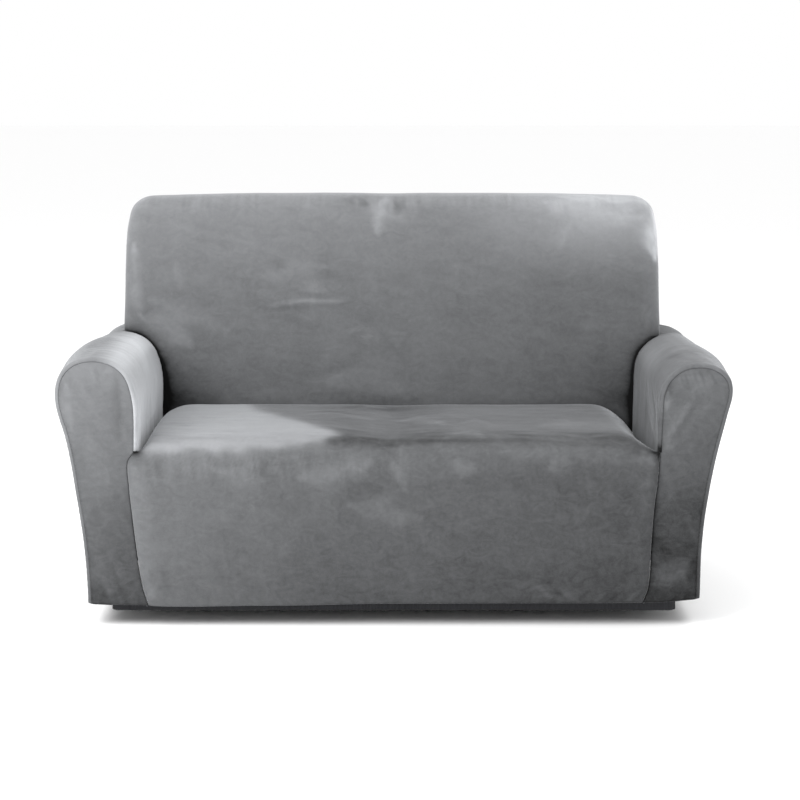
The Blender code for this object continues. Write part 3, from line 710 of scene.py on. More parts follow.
def through(points, counts):
    """Points on smooth curves through points along the first axis, counts[k] steps after each."""
    points = np.asarray(points, float)
    gaps = np.maximum(np.linalg.norm(np.diff(points, axis=0), axis=2, keepdims=True), 1e-7)
    slopes = np.diff(points, axis=0) / gaps
    inner = (slopes[:-1] * gaps[:-1] + slopes[1:] * gaps[1:]) / (gaps[:-1] + gaps[1:])
    tangents = np.concatenate([slopes[:1], inner, slopes[-1:]])
    made = []
    for k, count in enumerate(counts):
        for t in np.arange(count) / count:
            a, b = 2 * t**3 - 3 * t**2 + 1, t**3 - 2 * t**2 + t
            c, d = 3 * t**2 - 2 * t**3, t**3 - t**2
            made.append(
                a * points[k]
                + b * gaps[k] * tangents[k]
                + c * points[k + 1]
                + d * gaps[k] * tangents[k + 1]
            )
    return np.array(made + [points[-1]])


def counts_for(points, cell):
    gaps = np.linalg.norm(np.diff(points, axis=0), axis=2)
    return [max(1, round(float(np.percentile(gap, 70)) / cell)) for gap in gaps]


def border(points, low, high):
    """The grid with two more lines close to its first line, its last line, or both."""
    if low:
        near = [points[:1] + s * (points[1:2] - points[:1]) for s in BORDER_SHARES]
        points = np.concatenate([points[:1]] + near + [points[1:]])
    if high:
        near = [points[-1:] + s * (points[-2:-1] - points[-1:]) for s in reversed(BORDER_SHARES)]
        points = np.concatenate([points[:-1]] + near + [points[-1:]])
    return points


def fine(grid, cell, row_counts=None, column_counts=None, rows=(True, True), columns=(True, True)):
    """A fine grid through a coarse one, with extra lines beside the edges that are seams."""
    grid = through(grid, row_counts or counts_for(grid, cell))
    grid = np.swapaxes(grid, 0, 1)
    grid = through(grid, column_counts or counts_for(grid, cell))
    grid = border(grid, *columns)
    grid = np.swapaxes(grid, 0, 1)
    return border(grid, *rows)


seat_fine = fine(seat_coarse, CELL)
back_fine = fine(back_coarse, CELL)
print("seat and apron:", seat_fine.shape, "inside back:", back_fine.shape)

# %% Grids that share an edge
def arm_fine(side):
    """The outer grid and the inner grid of an arm cover, which meet point for point on the roll."""
    outer, inner = arm_coarse[side.name]
    row_counts = counts_for(outer, CELL)
    before = EDGE_STEPS + ARM_STEPS
    column_counts = counts_for(np.swapaxes(outer[: before + 1], 0, 1), CELL)
    outer = fine(outer, CELL, row_counts, column_counts, columns=(True, False))
    inner_counts = counts_for(np.swapaxes(inner, 0, 1), CELL)
    inner = fine(inner, CELL, row_counts[:before], inner_counts, rows=(True, False), columns=(False, True))
    inner = inner[:, inner_counts[0] :]
    inner[:, 0] = outer[: len(inner), -1]
    return outer, inner


def rear_fine():
    """The rear and the two side returns, which meet point for point at the rear corners."""
    rear, right, left = rear_coarse
    row_counts = counts_for(rear, REAR_CELL)
    above = row_counts[OUTER_STEPS:]
    rear = fine(rear, REAR_CELL, row_counts, columns=(False, False))
    grids = [rear]
    for side_grid, column in ((right, 0), (left, -1)):
        grid = fine(side_grid, REAR_CELL, above, rows=(False, True), columns=(False, True))
        grid[:, 0] = rear[-len(grid) :, column]
        grids.append(grid)
    return grids


facing_fine = {side.name: fine(arm_facing_grid(side), FACING_CELL) for side in (LEFT, RIGHT)}
arms_fine = {side.name: arm_fine(side) for side in (LEFT, RIGHT)}
rear_grids = rear_fine()
print("arm grids:", [grid.shape for grid in arms_fine["left"]], "rear:", [grid.shape for grid in rear_grids])

# %% [markdown]
# ## Cloth from a grid primitive
#
# Each panel starts as a grid primitive with as many faces as the fine table has, and its points are then
# put where the table says. Panels of more than one grid are joined and their shared edge is merged.

# %% Panel maker
def select_only(*objects):
    bpy.ops.object.select_all(action="DESELECT")
    for each in objects:
        each.select_set(True)
    bpy.context.view_layer.objects.active = objects[0]


def grid_primitive(name, points):
    rows, columns = points.shape[0] - 1, points.shape[1] - 1
    bpy.ops.mesh.primitive_grid_add(x_subdivisions=columns, y_subdivisions=rows, size=1.0)
    made = bpy.context.object
    made.name = made.data.name = name
    flat = np.empty(len(made.data.vertices) * 3)
    made.data.vertices.foreach_get("co", flat)
    flat = flat.reshape(-1, 3)
    i = np.rint((flat[:, 0] + 0.5) * columns).astype(int)
    j = np.rint((flat[:, 1] + 0.5) * rows).astype(int)
    made.data.vertices.foreach_set("co", points[j, i].ravel())
    made.data.update()
    return made


def coordinates(panel):
    flat = np.empty(len(panel.data.vertices) * 3)
    panel.data.vertices.foreach_get("co", flat)
    return flat.reshape(-1, 3)


def panel_from(name, grids, inside=(0.0, 0.45, 0.30)):
    """One sheet of cloth from its grids, with its faces turned away from the inside of the cover."""
    parts = [grid_primitive(name, grid) for grid in grids]
    select_only(*parts)
    if len(parts) > 1:
        bpy.ops.object.join()
    panel = bpy.context.object
    bpy.ops.object.mode_set(mode="EDIT")
    bpy.ops.mesh.select_all(action="SELECT")
    bpy.ops.mesh.remove_doubles(threshold=1e-6)
    bpy.ops.mesh.normals_make_consistent(inside=False)
    bpy.ops.object.mode_set(mode="OBJECT")
    points, normals = coordinates(panel), np.array([v.normal for v in panel.data.vertices])
    if ((points - np.array(inside)) * normals).sum() < 0:
        panel.data.flip_normals()
    return panel


panels = {
    "seat": panel_from("seat_and_apron_cloth", [seat_fine]),
    "back": panel_from("inside_back_cloth", [back_fine]),
    "rear": panel_from("outside_back_cloth", rear_grids),
    "arm_left": panel_from("arm_cover_left_cloth", arms_fine["left"]),
    "arm_right": panel_from("arm_cover_right_cloth", arms_fine["right"]),
    "facing_left": panel_from("arm_facing_left_cloth", [facing_fine["left"]], (0.0, 3.0, 0.3)),
    "facing_right": panel_from("arm_facing_right_cloth", [facing_fine["right"]], (0.0, 3.0, 0.3)),
}
for key, panel in panels.items():
    print(key, "has", len(panel.data.polygons), "faces")

# %% [markdown]
# ## Closing the seams
#
# The solids keep a gap between two panels, so that each stays a piece of its own. Sewn cloth meets. Each
# point of a panel's edge is drawn towards the nearest edge of its neighbour, until the two edges all but
# touch.

# %% Close the seams
SEWN_GAP = 0.0004  # what is left between two sewn edges
SEAM_REACH = 0.0065  # an edge with no neighbour this near is a hem or a tuck


def edge_lines(panel):
    """The point pairs of a sheet's open edge."""
    uses = {}
    for polygon in panel.data.polygons:
        for edge in polygon.edge_keys:
            uses[edge] = uses.get(edge, 0) + 1
    return np.array([edge for edge, count in uses.items() if count == 1])


def tree_of(points):
    tree = KDTree(len(points))
    for index, point in enumerate(points):
        tree.insert(point, index)
    tree.balance()
    return tree


def dense_edge(panel, steps=10):
    points, lines = coordinates(panel), edge_lines(panel)
    shares = (np.arange(steps) / steps)[:, None, None]
    return (points[lines[:, 0]] * (1 - shares) + points[lines[:, 1]] * shares).reshape(-1, 3)


def close_seams(panels):
    edges = {key: dense_edge(panel) for key, panel in panels.items()}
    moved = 0
    for key, panel in panels.items():
        others = np.concatenate([edge for other, edge in edges.items() if other != key])
        tree = tree_of(others)
        points = coordinates(panel)
        for index in np.unique(edge_lines(panel)):
            place, _, gap = tree.find(points[index])
            if SEWN_GAP < gap < SEAM_REACH:
                points[index] += (np.array(place) - points[index]) * (gap - SEWN_GAP) / gap / 2
                moved += 1
        panel.data.vertices.foreach_set("co", points.ravel())
        panel.data.update()
    return moved


print("points drawn to a seam:", close_seams(panels))

# %% [markdown]
# ## Folds
#
# A pulled cover creases where its tension runs, so each crease is a line on the cloth with a width and a
# height, a ridge where it is above 0 and a valley where it is below. Sculpting would do this by hand. A
# table of lines does it in code, and a line that looks wrong can be found by its name.

# %% Tables of folds
Fold = namedtuple("Fold", "name width height path")


def metres(value):
    """Metres from millimetres, to the micrometre."""
    return round(value / 1000, 6)


def path_of(points):
    return tuple(tuple(map(metres, point)) for point in points)


def fold(name, width, height, *points):
    """A fold from its name, and its half width, height and points in millimetres."""
    return Fold(name, metres(width), metres(height), path_of(points))


FOLDS = {
    "back": (
        fold("back_ridge", 26, 5.5, (-17, 698, 982), (-24, 656, 959), (-32, 638, 929), (-45, 622, 883)),
        fold("back_valley", 26, -5, (20, 687, 980), (18, 654, 954), (12, 635, 919)),
        fold("back_thin1", 12, 1.8, (68, 678, 976), (70, 651, 954), (60, 635, 924)),
        fold("back_thin2", 16, 1.4, (99, 673, 973), (99, 628, 903)),
        fold("back_left_top", 30, -2.5, (-67, 695, 982), (-74, 645, 944)),
        fold("back_long_crease", 12, 3.2, (-333, 590, 697), (-273, 591, 707), (-239, 592, 713),
            (-181, 591, 710), (-116, 592, 714)),
        fold("back_short_crease", 9, 1.4, (-255, 596, 741), (-189, 595, 735)),
        fold("back_mid_crease", 14, 2, (-124, 581, 629), (-85, 582, 637), (-58, 581, 632)),
        fold("back_diag_dark", 12, -2.6, (-51, 583, 650), (-24, 578, 609), (20, 572, 557)),
        fold("back_diag_light", 14, 1.6, (-37, 585, 661), (-6, 579, 614), (36, 572, 562)),
        fold("back_thin_dark", 8, -1, (-352, 621, 878), (-284, 621, 880)),
        fold("back_left_edge1", 18, -2.2, (-674, 609, 813), (-648, 597, 749), (-632, 590, 702),
            (-611, 585, 663), (-583, 580, 622)),
        fold("back_left_streak", 10, 1, (-577, 611, 826), (-569, 603, 782), (-566, 596, 741)),
        fold("back_left_streak2", 10, 0.8, (-546, 612, 834), (-543, 601, 769), (-540, 593, 718)),
        fold("back_fall", 18, 1.2, (-16, 608, 816), (2, 599, 757), (18, 592, 713)),
        fold("back_right_rim", 18, 2.2, (439, 700, 982), (517, 690, 979), (573, 661, 961), (647, 667, 961)),
        fold("back_right_rim2", 16, 2.4, (573, 661, 961), (619, 647, 944), (660, 664, 953)),
        fold("back_right_side", 20, 2, (663, 668, 953), (677, 645, 910), (685, 632, 858)),
        fold("back_right_diag", 24, 1.6, (461, 637, 929), (450, 619, 873), (434, 613, 842)),
        fold("back_low_edge", 26, -1.8, (-216, 568, 517), (-129, 570, 536), (-85, 571, 549)),
    ),
    "seat": (
        fold("seat_streak1", 22, -1, (-559, 161, 460), (-526, 200, 460), (-476, 187, 460)),
        fold("seat_streak2", 24, -1.1, (-487, 254, 461), (-421, 268, 461), (-355, 282, 461)),
        fold("seat_streak3", 22, -0.9, (-543, 83, 454), (-504, 98, 457), (-474, 69, 452)),
        fold("seat_streak4", 26, 0.9, (-181, 174, 460), (-106, 126, 456), (-62, 115, 453)),
        fold("seat_streak5", 30, -1.4, (-126, 411, 459), (-63, 479, 455), (-6, 467, 452)),
        fold("seat_streak6", 32, 1.2, (27, 282, 453), (78, 302, 458), (119, 245, 460)),
        fold("seat_streak7", 26, -1, (-237, 326, 461), (-162, 358, 461), (-85, 313, 458)),
        fold("seat_streak8", 30, -1.1, (137, 175, 460), (202, 268, 461), (259, 161, 460)),
        fold("seat_dimple", 16, -2.2, (-14, 46, 439), (-6, 24, 427)),
        fold("seat_arc", 30, 1, (127, 27, 436), (152, 70, 452), (188, 91, 455), (206, 49, 446)),
        fold("seat_arc2", 24, 0.8, (134, 7, 418), (157, 2, 412), (162, -10, 385), (148, -12, 376)),
        fold("seat_right1", 20, -1.4, (400, 91, 456), (459, 69, 452), (520, 83, 454)),
        fold("seat_right2", 14, 1.8, (567, 112, 449), (578, 40, 440), (586, 17, 428)),
        fold("seat_right3", 12, 1.2, (466, 11, 424), (494, 2, 412), (496, -13, 373)),
        fold("centre_ridge", 15, 2.4, (25, 49, 441), (17, 4, 401), (20, -11, 342)),
        fold("centre_fold1", 12, -2, (-23, 18, 423), (-4, 0, 388), (13, -9, 351)),
        fold("centre_fold2", 12, 1.6, (-42, 17, 423), (-56, -1, 398), (-66, -9, 375)),
        fold("centre_fold3", 14, -1.6, (39, 30, 433), (74, 14, 424), (100, 1, 407)),
        fold("pleat1", 10, -1.6, (-160, -17, 333), (-163, -19, 290), (-156, -19, 241)),
        fold("pleat2", 10, 1.4, (-139, -18, 319), (-137, -18, 278), (-132, -18, 236)),
        fold("pleat3", 10, -1.4, (-120, -16, 338), (-123, -18, 290), (-123, -19, 261)),
        fold("apron_crease", 7, -1.4, (-225, -19, 232), (-175, -19, 235), (-125, -18, 236)),
        fold("apron_crease2", 9, -1.2, (252, -18, 307), (288, -18, 302), (309, -18, 297)),
        fold("apron_step", 14, 1.2, (-113, -15, 347), (-51, -10, 361), (-32, -4, 384)),
        fold("apron_step2", 12, 1.2, (32, 3, 402), (32, -9, 361), (36, -15, 318)),
        fold("apron_left_line", 18, 1.2, (-550, -15, 153), (-497, -18, 197), (-432, -19, 236),
            (-400, -19, 266)),
        fold("gather_a", 11, 1.8, (-429, 6, 418), (-430, -10, 385), (-433, -17, 338)),
        fold("gather_b", 9, 1.4, (-367, 6, 418), (-369, -10, 385), (-373, -15, 357)),
        fold("gather_c", 9, 1.8, (-337, 22, 432), (-331, -6, 396), (-324, -15, 362)),
        fold("gather_d", 9, -1.8, (-313, 16, 428), (-310, -3, 403), (-305, -13, 373)),
        fold("gather_e", 10, 2, (-268, 16, 428), (-260, -7, 394), (-243, -16, 352)),
        fold("gather_f", 9, -1.6, (-294, 11, 424), (-291, -8, 389)),
        fold("gather_g", 9, 1.2, (-391, 2, 412), (-395, -13, 373)),
        fold("hem_r1", 9, 1.8, (340, -11, 105), (362, -9, 87), (379, -6, 69)),
        fold("hem_r2", 9, -1.8, (368, -12, 113), (390, -9, 90), (410, -6, 69)),
        fold("hem_r3", 9, 1.8, (402, -10, 92), (434, -5, 67)),
        fold("hem_r4", 9, -1.8, (469, -10, 92), (446, -5, 67)),
        fold("hem_r5", 9, 1.8, (508, -9, 87), (484, -5, 67)),
        fold("hem_r6", 9, -1.6, (546, -9, 87), (518, -5, 67)),
        fold("hem_r7", 9, 1.6, (589, -8, 92), (561, -5, 67)),
    ),
    "arm_left": (
        fold("left_top1", 18, -1.6, (-731, 14, 649), (-713, 130, 652), (-673, 190, 646)),
        fold("left_top2", 18, 1.6, (-746, 225, 646), (-721, 290, 651), (-680, 319, 647)),
        fold("left_top3", 14, 2, (-658, 239, 639), (-643, 237, 627), (-637, 135, 622), (-622, 142, 596)),
        fold("left_top4", 16, -1.2, (-734, 402, 649), (-685, 421, 649), (-641, 427, 625)),
        fold("left_side1", 10, 2, (-611, 170, 562), (-606, 99, 523), (-606, 51, 465)),
        fold("left_side2", 11, -2, (-609, 297, 552), (-606, 258, 508), (-607, 174, 453)),
        fold("left_side3", 11, 1.8, (-606, 391, 506), (-606, 368, 469), (-607, 281, 454)),
        fold("left_side4", 10, -1.8, (-609, 69, 552), (-606, 11, 501), (-610, 2, 455)),
    ),
    "arm_right": (
        fold("right_top1", 18, -1.6, (655, 172, 609), (679, 131, 627), (703, 43, 636)),
        fold("right_top2", 20, 1.4, (701, 211, 635), (735, 104, 636), (759, 17, 630)),
        fold("right_side1", 14, 2, (643, 316, 595), (630, 256, 546), (627, 205, 492), (626, 44, 457)),
        fold("right_side2", 12, -2, (641, 175, 591), (629, 123, 543), (627, 54, 482)),
        fold("right_side3", 10, 1.6, (635, 74, 575), (628, 31, 522), (631, 1, 455)),
    ),
    "facing_left": (
        fold("left_front1", 9, 2, (-745, -4, 602), (-729, -6, 588), (-713, -7, 574)),
        fold("left_front2", 10, 2.2, (-710, -2, 630), (-703, -5, 612), (-696, -7, 588)),
        fold("left_front3", 8, 1.8, (-705, -8, 490), (-684, -8, 478), (-666, -6, 461)),
        fold("left_front4", 8, 1.4, (-695, -8, 543), (-678, -7, 531), (-662, -6, 516)),
        fold("left_front5", 10, 1.2, (-684, -8, 404), (-675, -7, 379), (-673, -7, 346)),
        fold("left_front6", 12, -1.2, (-722, -4, 321), (-692, -8, 326), (-655, -5, 319)),
        fold("left_front7", 12, 1.4, (-684, -4, 609), (-668, -2, 618), (-654, -1, 614)),
        fold("left_front8", 16, -2.4, (-649, 0, 618), (-643, -3, 552), (-645, -4, 456)),
    ),
    "facing_right": (
        fold("right_front1", 14, 3.2, (708, -8, 555), (681, -6, 504), (656, -3, 465), (643, -1, 427)),
        fold("right_front2", 16, -2.6, (720, -8, 548), (695, -7, 502), (668, -5, 454)),
        fold("right_pucker1", 7, 2.4, (672, -1, 606), (679, -4, 590), (689, -6, 574)),
        fold("right_pucker2", 7, -2.6, (688, -1, 616), (695, -5, 595), (705, -7, 569)),
        fold("right_pucker3", 7, 2.6, (700, -1, 621), (709, -5, 600), (717, -7, 581)),
        fold("right_pucker4", 7, -2.6, (721, -1, 623), (731, -4, 605), (735, -6, 588)),
        fold("right_pucker5", 7, 2.6, (740, -1, 618), (752, -4, 600), (759, -4, 581)),
        fold("right_pucker6", 8, -1.4, (752, -3, 607), (767, -3, 590)),
        fold("right_front3", 12, 1.4, (652, -3, 575), (661, -3, 561), (666, -4, 533)),
        fold("right_low1", 14, 1.4, (625, -3, 122), (660, -7, 148), (707, -4, 172)),
        fold("right_low2", 14, -1.2, (647, -4, 86), (685, -6, 111), (708, -3, 140)),
    ),
}

print("folds:", {key: len(folds) for key, folds in FOLDS.items()})

# %% Pressing the folds in
def line_distance(points, path):
    """How far each point is from a line of points, and the share along it of the nearest place."""
    path = np.array(path, float)
    lengths = np.maximum(np.linalg.norm(np.diff(path, axis=0), axis=1), 1e-6)
    best = np.full(len(points), np.inf)
    share = np.zeros(len(points))
    before = 0.0
    for a, b, length in zip(path, path[1:], lengths):
        t = np.clip((points - a) @ (b - a) / length**2, 0, 1)
        distance = np.linalg.norm(points - a - t[:, None] * (b - a), axis=1)
        nearer = distance < best
        best = np.where(nearer, distance, best)
        share = np.where(nearer, (before + t * length) / lengths.sum(), share)
        before += length
    return best, share


def fold_heights(points, folds):
    """How far the folds lift each point, each fold fading towards its ends and its sides."""
    height = np.zeros(len(points))
    for each in folds:
        distance, share = line_distance(points, each.path)
        fade = np.clip(4.5 * share * (1 - share) + 0.12, 0, 1)
        height += each.height * fade * np.exp(-3.2 * (distance / each.width) ** 2)
    return height


def soft_noise(points, size, seed):
    """Smooth noise with swells of about this size."""
    offset = Vector((seed * 3.7, seed * 1.3, -seed * 2.1))
    return np.array([noise.noise(Vector(p) / size + offset) for p in points])


def edge_distance(points, edge_points):
    """How far each point is from the nearest of some edge points, and which one that is."""
    tree = tree_of(edge_points)
    found = [tree.find(point)[1:] for point in points]
    return np.array([distance for _, distance in found]), np.array([index for index, _ in found])


ROLL_WIDTH = 0.0030  # how wide the cloth rolls under at a seam
ROLL_DEPTH = 0.0008
PUCKER_DEPTH = 0.0007  # the small gathers that the seam's thread draws
PUCKER_REACH = 0.016
PUCKERS = np.array((61.0, 57.0, 66.0))  # gathers on a metre of seam, along x, y and z
SWELL = 0.0011  # the cloth's slow unevenness
SWELL_SIZE, RIPPLE_SIZE = 0.16, 0.045
RIPPLE = 0.3  # the small swells' share of the large ones' height


def dress(panel, folds, quiet=1.0):
    """Presses folds, seam rolls, puckers and a slow unevenness into a sheet, along its normals."""
    points = coordinates(panel)
    normals = np.array([v.normal for v in panel.data.vertices])
    height = fold_heights(points, folds)
    slow, quick = soft_noise(points, SWELL_SIZE, 1), soft_noise(points, RIPPLE_SIZE, 2)
    height += quiet * SWELL * slow + quiet * RIPPLE * SWELL * quick
    edges = points[np.unique(edge_lines(panel))]
    distance, nearest = edge_distance(points, edges)
    along = edges[nearest] @ PUCKERS * 2 * math.pi
    uneven = 0.5 + 0.9 * np.clip(soft_noise(edges, 0.09, 5), -0.5, 0.6)[nearest]
    height += PUCKER_DEPTH * np.sin(along) * uneven * np.exp(-distance / PUCKER_REACH)
    height -= ROLL_DEPTH * np.clip(1 - distance / ROLL_WIDTH, 0, 1) ** 2
    points = points + height[:, None] * normals
    panel.data.vertices.foreach_set("co", points.ravel())
    panel.data.update()
    return distance


FACING_QUIET = 0.6  # the small facings swell less
seam_distance = {}
for key, panel in panels.items():
    seam_distance[key] = dress(panel, FOLDS.get(key, ()), FACING_QUIET if "facing" in key else 1.0)
print("pressed", sum(len(folds) for folds in FOLDS.values()), "folds into", len(panels), "panels")

# %% [markdown]
# ## The pile's strokes, with painted light and shade
#
# Velour has a short pile that leans. Where a hand has stroked it one way it looks pale, and the other way
# dark, with edges like brush marks. The strokes are kept on the cloth itself as an attribute, one number
# a point, and the finish reads it. The same number also carries painted light and shade: slopes of grey
# where the light falls, painted highlights on rims, ridges and creases, painted shade in valleys and
# corners, and a painted pool of light on the seat. A painted image would do the same, but it would need
# a file.

# %% Tables of strokes
Stroke = namedtuple("Stroke", "name width strength path")
HEM_PUCKER_WIDTH = 0.005
# Painted highlight on each ridge and painted shade in each valley of the folds at the hem.
HEM_FOLD_HIGHLIGHT_AND_SHADE = (0.05, -0.03, 0.05, -0.03, 0.05, -0.03, 0.04)  # light and dark, on the folds at the hem


def stroke(name, width, strength, *points):
    """A stroke from its name, half width in millimetres, strength and points in millimetres."""
    return Stroke(name, metres(width), strength, path_of(points))


def hem_fold_highlight_and_shade():
    """A narrow stroke of painted highlight or painted shade on each of the apron's folds at the hem."""
    at_hem = [each for each in FOLDS["seat"] if each.name.startswith("hem_r")]
    pairs = zip(at_hem, HEM_FOLD_HIGHLIGHT_AND_SHADE, strict=True)
    return [Stroke(each.name, HEM_PUCKER_WIDTH, shade, each.path) for each, shade in pairs]


# Strokes marked as painted below are painted light or shade; the others are the pile's own marks.
STROKES = {
    "seat": (
        *hem_fold_highlight_and_shade(),
        stroke("pale stroke behind the middle", 26, 0.10, (10, 277, 452), (65, 277, 457), (123, 191, 460)),
        stroke("pale stroke left of the middle", 22, 0.06, (-121, 333, 460), (-55, 268, 456)),
        stroke("pale oval on the front roll", 26, 0.05, (123, 59, 449), (164, 91, 455), (211, 62, 451)),
        stroke("dark stroke along the back", 30, -0.05, (-126, 427, 459), (2, 456, 451)),
        stroke("dark stroke on the front roll", 22, -0.02, (-152, 32, 440), (-33, 33, 435)),
        stroke("pale right side of the seat", 55, 0.06, (369, 161, 460), (458, 200, 460), (536, 118, 458)),
        # Painted highlight on the seat's corner beside the right arm.
        stroke("pale corner beside the right arm", 30, 0.08, (595, 12, 424), (614, -7, 401)),
        stroke("pale band below the front roll", 26, 0.05, (253, 11, 424), (490, 6, 418), (584, 1, 412)),
        stroke("strip beside the left seam", 30, 0.06, (-610, -11, 385), (-607, -15, 265), (-591, -12, 142),
            (-579, -7, 79)),
        stroke("strip beside the right seam", 30, 0.03, (607, -13, 373), (600, -16, 241), (596, -9, 117)),
        stroke("blots under the front roll", 26, 0.08, (-222, -14, 366), (-127, -12, 376), (-56, 1, 402)),
        stroke("upright pale stroke in the middle", 12, 0.05, (20, 34, 434), (24, -3, 383), (24, -12, 337)),
        stroke("slanting pale stroke in the middle", 12, 0.05, (-4, 5, 401), (10, -8, 360)),
        stroke("pale gathers at the left", 24, 0.06, (-423, -10, 385), (-352, -14, 366), (-312, -15, 362)),
        stroke("pale field in the middle of the apron", 30, 0.05, (-104, -17, 302), (-9, -15, 284),
            (62, -18, 270)),
        stroke("dark field above it", 26, -0.04, (-115, -16, 333), (-32, -11, 342)),
        stroke("dark lower left corner", 30, -0.03, (-577, -13, 130), (-546, -11, 105)),
        stroke("blot right of the middle", 18, 0.07, (145, -3, 403), (193, -10, 385)),
        stroke("blot further right", 20, 0.06, (370, -8, 389), (430, -3, 403)),
    ),
    "back": (
        # Painted highlight along the back's left edge.
        stroke("pale left edge", 20, 0.10, (-682, 620, 859), (-674, 597, 744), (-666, 587, 679)),
        stroke("pale lower left", 30, 0.10, (-658, 586, 671), (-601, 584, 653), (-535, 577, 601)),
        stroke("pale field above it", 26, 0.05, (-640, 593, 718), (-535, 586, 671), (-436, 582, 640)),
        # Painted highlight on the ridge over the top, and painted shade in the valleys beside it.
        stroke("pale ridge over the top", 28, 0.17, (-19, 676, 973), (-27, 644, 939), (-43, 625, 893)),
        stroke("dark left of the ridge", 28, -0.08, (-130, 673, 973), (-74, 660, 964)),
        stroke("dark right of the ridge", 24, -0.08, (4, 663, 964), (26, 653, 954)),
        stroke("long blot", 22, 0.06, (-346, 602, 780), (-273, 604, 790), (-181, 607, 806)),
        stroke("short blot", 18, 0.05, (-234, 600, 764), (-181, 597, 744)),
        # Painted highlights on the ridges of two creases.
        stroke("pale crease", 7, 0.09, (-286, 591, 705), (-234, 592, 713), (-129, 592, 713)),
        stroke("small pale crease", 7, 0.08, (-85, 580, 624), (-58, 580, 624)),
        # Painted light at the upper right of the back, and painted highlights on its rim and its right edge.
        stroke("pale upper right", 40, 0.12, (397, 664, 966), (514, 645, 944), (645, 638, 929)),
        stroke("pale rim at the upper right", 22, 0.16, (438, 689, 980), (569, 680, 973), (663, 686, 962)),
        stroke("pale right edge", 34, 0.62, (682, 692, 940), (686, 645, 883), (687, 625, 825)),
        stroke("slanting stroke at the right", 20, 0.06, (461, 630, 911), (434, 615, 852)),
        stroke("pale lower middle", 36, 0.04, (-169, 566, 499), (-64, 569, 525), (15, 565, 483)),
        # Painted shade in the crevice where the back meets the seat.
        stroke("dark behind the seat", 24, -0.05, (-248, 564, 462), (68, 563, 457)),
        stroke("upright streak", 12, 0.05, (-572, 609, 816), (-561, 596, 744)),
    ),
    "arm_left": (
        stroke("dark brushed arc on the roll", 40, -0.10, (-730, 147, 649), (-701, 292, 651),
            (-670, 304, 644)),
        stroke("pale arc in front of it", 30, 0.06, (-679, 127, 647), (-646, 112, 630)),
        # Painted highlight along the inner edge of the roll.
        stroke("pale ridge on the inner roll", 26, 0.14, (-651, 344, 634), (-626, 280, 605),
            (-619, 178, 591)),
        stroke("dark upright streak", 16, -0.10, (-608, 219, 540), (-606, 173, 460)),
        stroke("pale upright streak", 14, 0.10, (-608, 422, 545), (-606, 345, 468)),
        stroke("narrow dark streak", 9, -0.08, (-609, 26, 547), (-610, 2, 479)),
    ),
    "arm_right": (
        # Painted highlight along the inner edge of the roll.
        stroke("pale inner edge of the roll", 16, 0.12, (634, 237, 574), (628, 210, 504), (626, 87, 464)),
        stroke("pale top of the roll", 40, 0.05, (705, 241, 636), (739, 42, 636)),
        stroke("pale outer roll", 24, 0.06, (726, 38, 636), (764, 0, 618)),
    ),
    "facing_left": (
        # Painted shade in the valley beside the inner seam, and a painted highlight on the outer edge.
        stroke("dark beside the inner seam", 24, -0.04, (-652, -2, 599), (-648, -4, 528), (-652, -5, 461)),
        stroke("pale outer edge", 13, 0.08, (-772, -2, 587), (-773, -2, 540), (-761, -2, 480)),
        stroke("pale under the top seam", 16, 0.05, (-679, -3, 619), (-658, 0, 623)),
        stroke("pale middle", 30, 0.03, (-718, -7, 457), (-696, -8, 384), (-679, -8, 312)),
        stroke("pale foot", 26, 0.03, (-701, -5, 165), (-679, -4, 91)),
    ),
    "facing_right": (
        stroke("dark inside the inner seam", 12, -0.08, (650, -1, 598), (645, -1, 551)),
        # Painted highlight on the ridge of the slanting crease.
        stroke("slanting pale crease", 22, 0.06, (696, -7, 541), (667, -5, 485), (650, -2, 436)),
        stroke("pale under the top seam", 26, 0.05, (721, -5, 600), (740, -6, 576)),
        stroke("pale spot", 14, 0.05, (732, -7, 531), (741, -6, 538)),
        stroke("pale field at the foot", 24, 0.06, (630, -3, 110), (665, -7, 136), (703, -5, 165)),
        stroke("its lower edge", 20, 0.03, (661, -5, 101), (694, -5, 135)),
        stroke("pale line inside the seam", 8, 0.10, (647, -1, 571), (645, -1, 528)),
    ),
}


# The outline of a painted pool of light on the left part of the seat, seen from above, and how much paler it
# paints the grey.
LIT_SEAT = (
    (-0.620, 0.600), (-0.410, 0.560), (-0.320, 0.340), (-0.235, 0.225), (-0.150, 0.110),
    (-0.140, 0.075), (-0.170, 0.040), (-0.260, 0.022), (-0.420, 0.016), (-0.600, 0.012),
)
LIT_STRENGTH = 0.40

# Middle, spread and strength of the shade where the back meets the seat and an arm.
CORNER_SHADES = (
    ((-0.600, 0.566, 0.455), (0.130, 1.0, 0.075), 0.32),
    ((-0.600, 0.570, 0.520), (0.014, 1.0, 0.080), 0.10),
    ((0.620, 0.566, 0.455), (0.110, 1.0, 0.070), 0.20),
)

print("strokes:", {key: len(strokes) for key, strokes in STROKES.items()})

# %% Brush marks, and slopes of grey that are painted light and shade
def outline_distance(points, outline):
    """How far points are outside a flat outline, below 0 inside it."""
    outline = np.array(outline)
    best = np.full(len(points), np.inf)
    inside = np.zeros(len(points), bool)
    for a, b in zip(outline, np.roll(outline, -1, axis=0)):
        t = np.clip((points - a) @ (b - a) / ((b - a) @ (b - a)), 0, 1)
        best = np.minimum(best, np.linalg.norm(points - a - t[:, None] * (b - a), axis=1))
        crosses = (a[1] > points[:, 1]) != (b[1] > points[:, 1])
        at = a[0] + (points[:, 1] - a[1]) * (b[0] - a[0]) / np.where(b[1] == a[1], 1e-9, b[1] - a[1])
        inside ^= crosses & (points[:, 0] < at)
    return np.where(inside, -best, best)


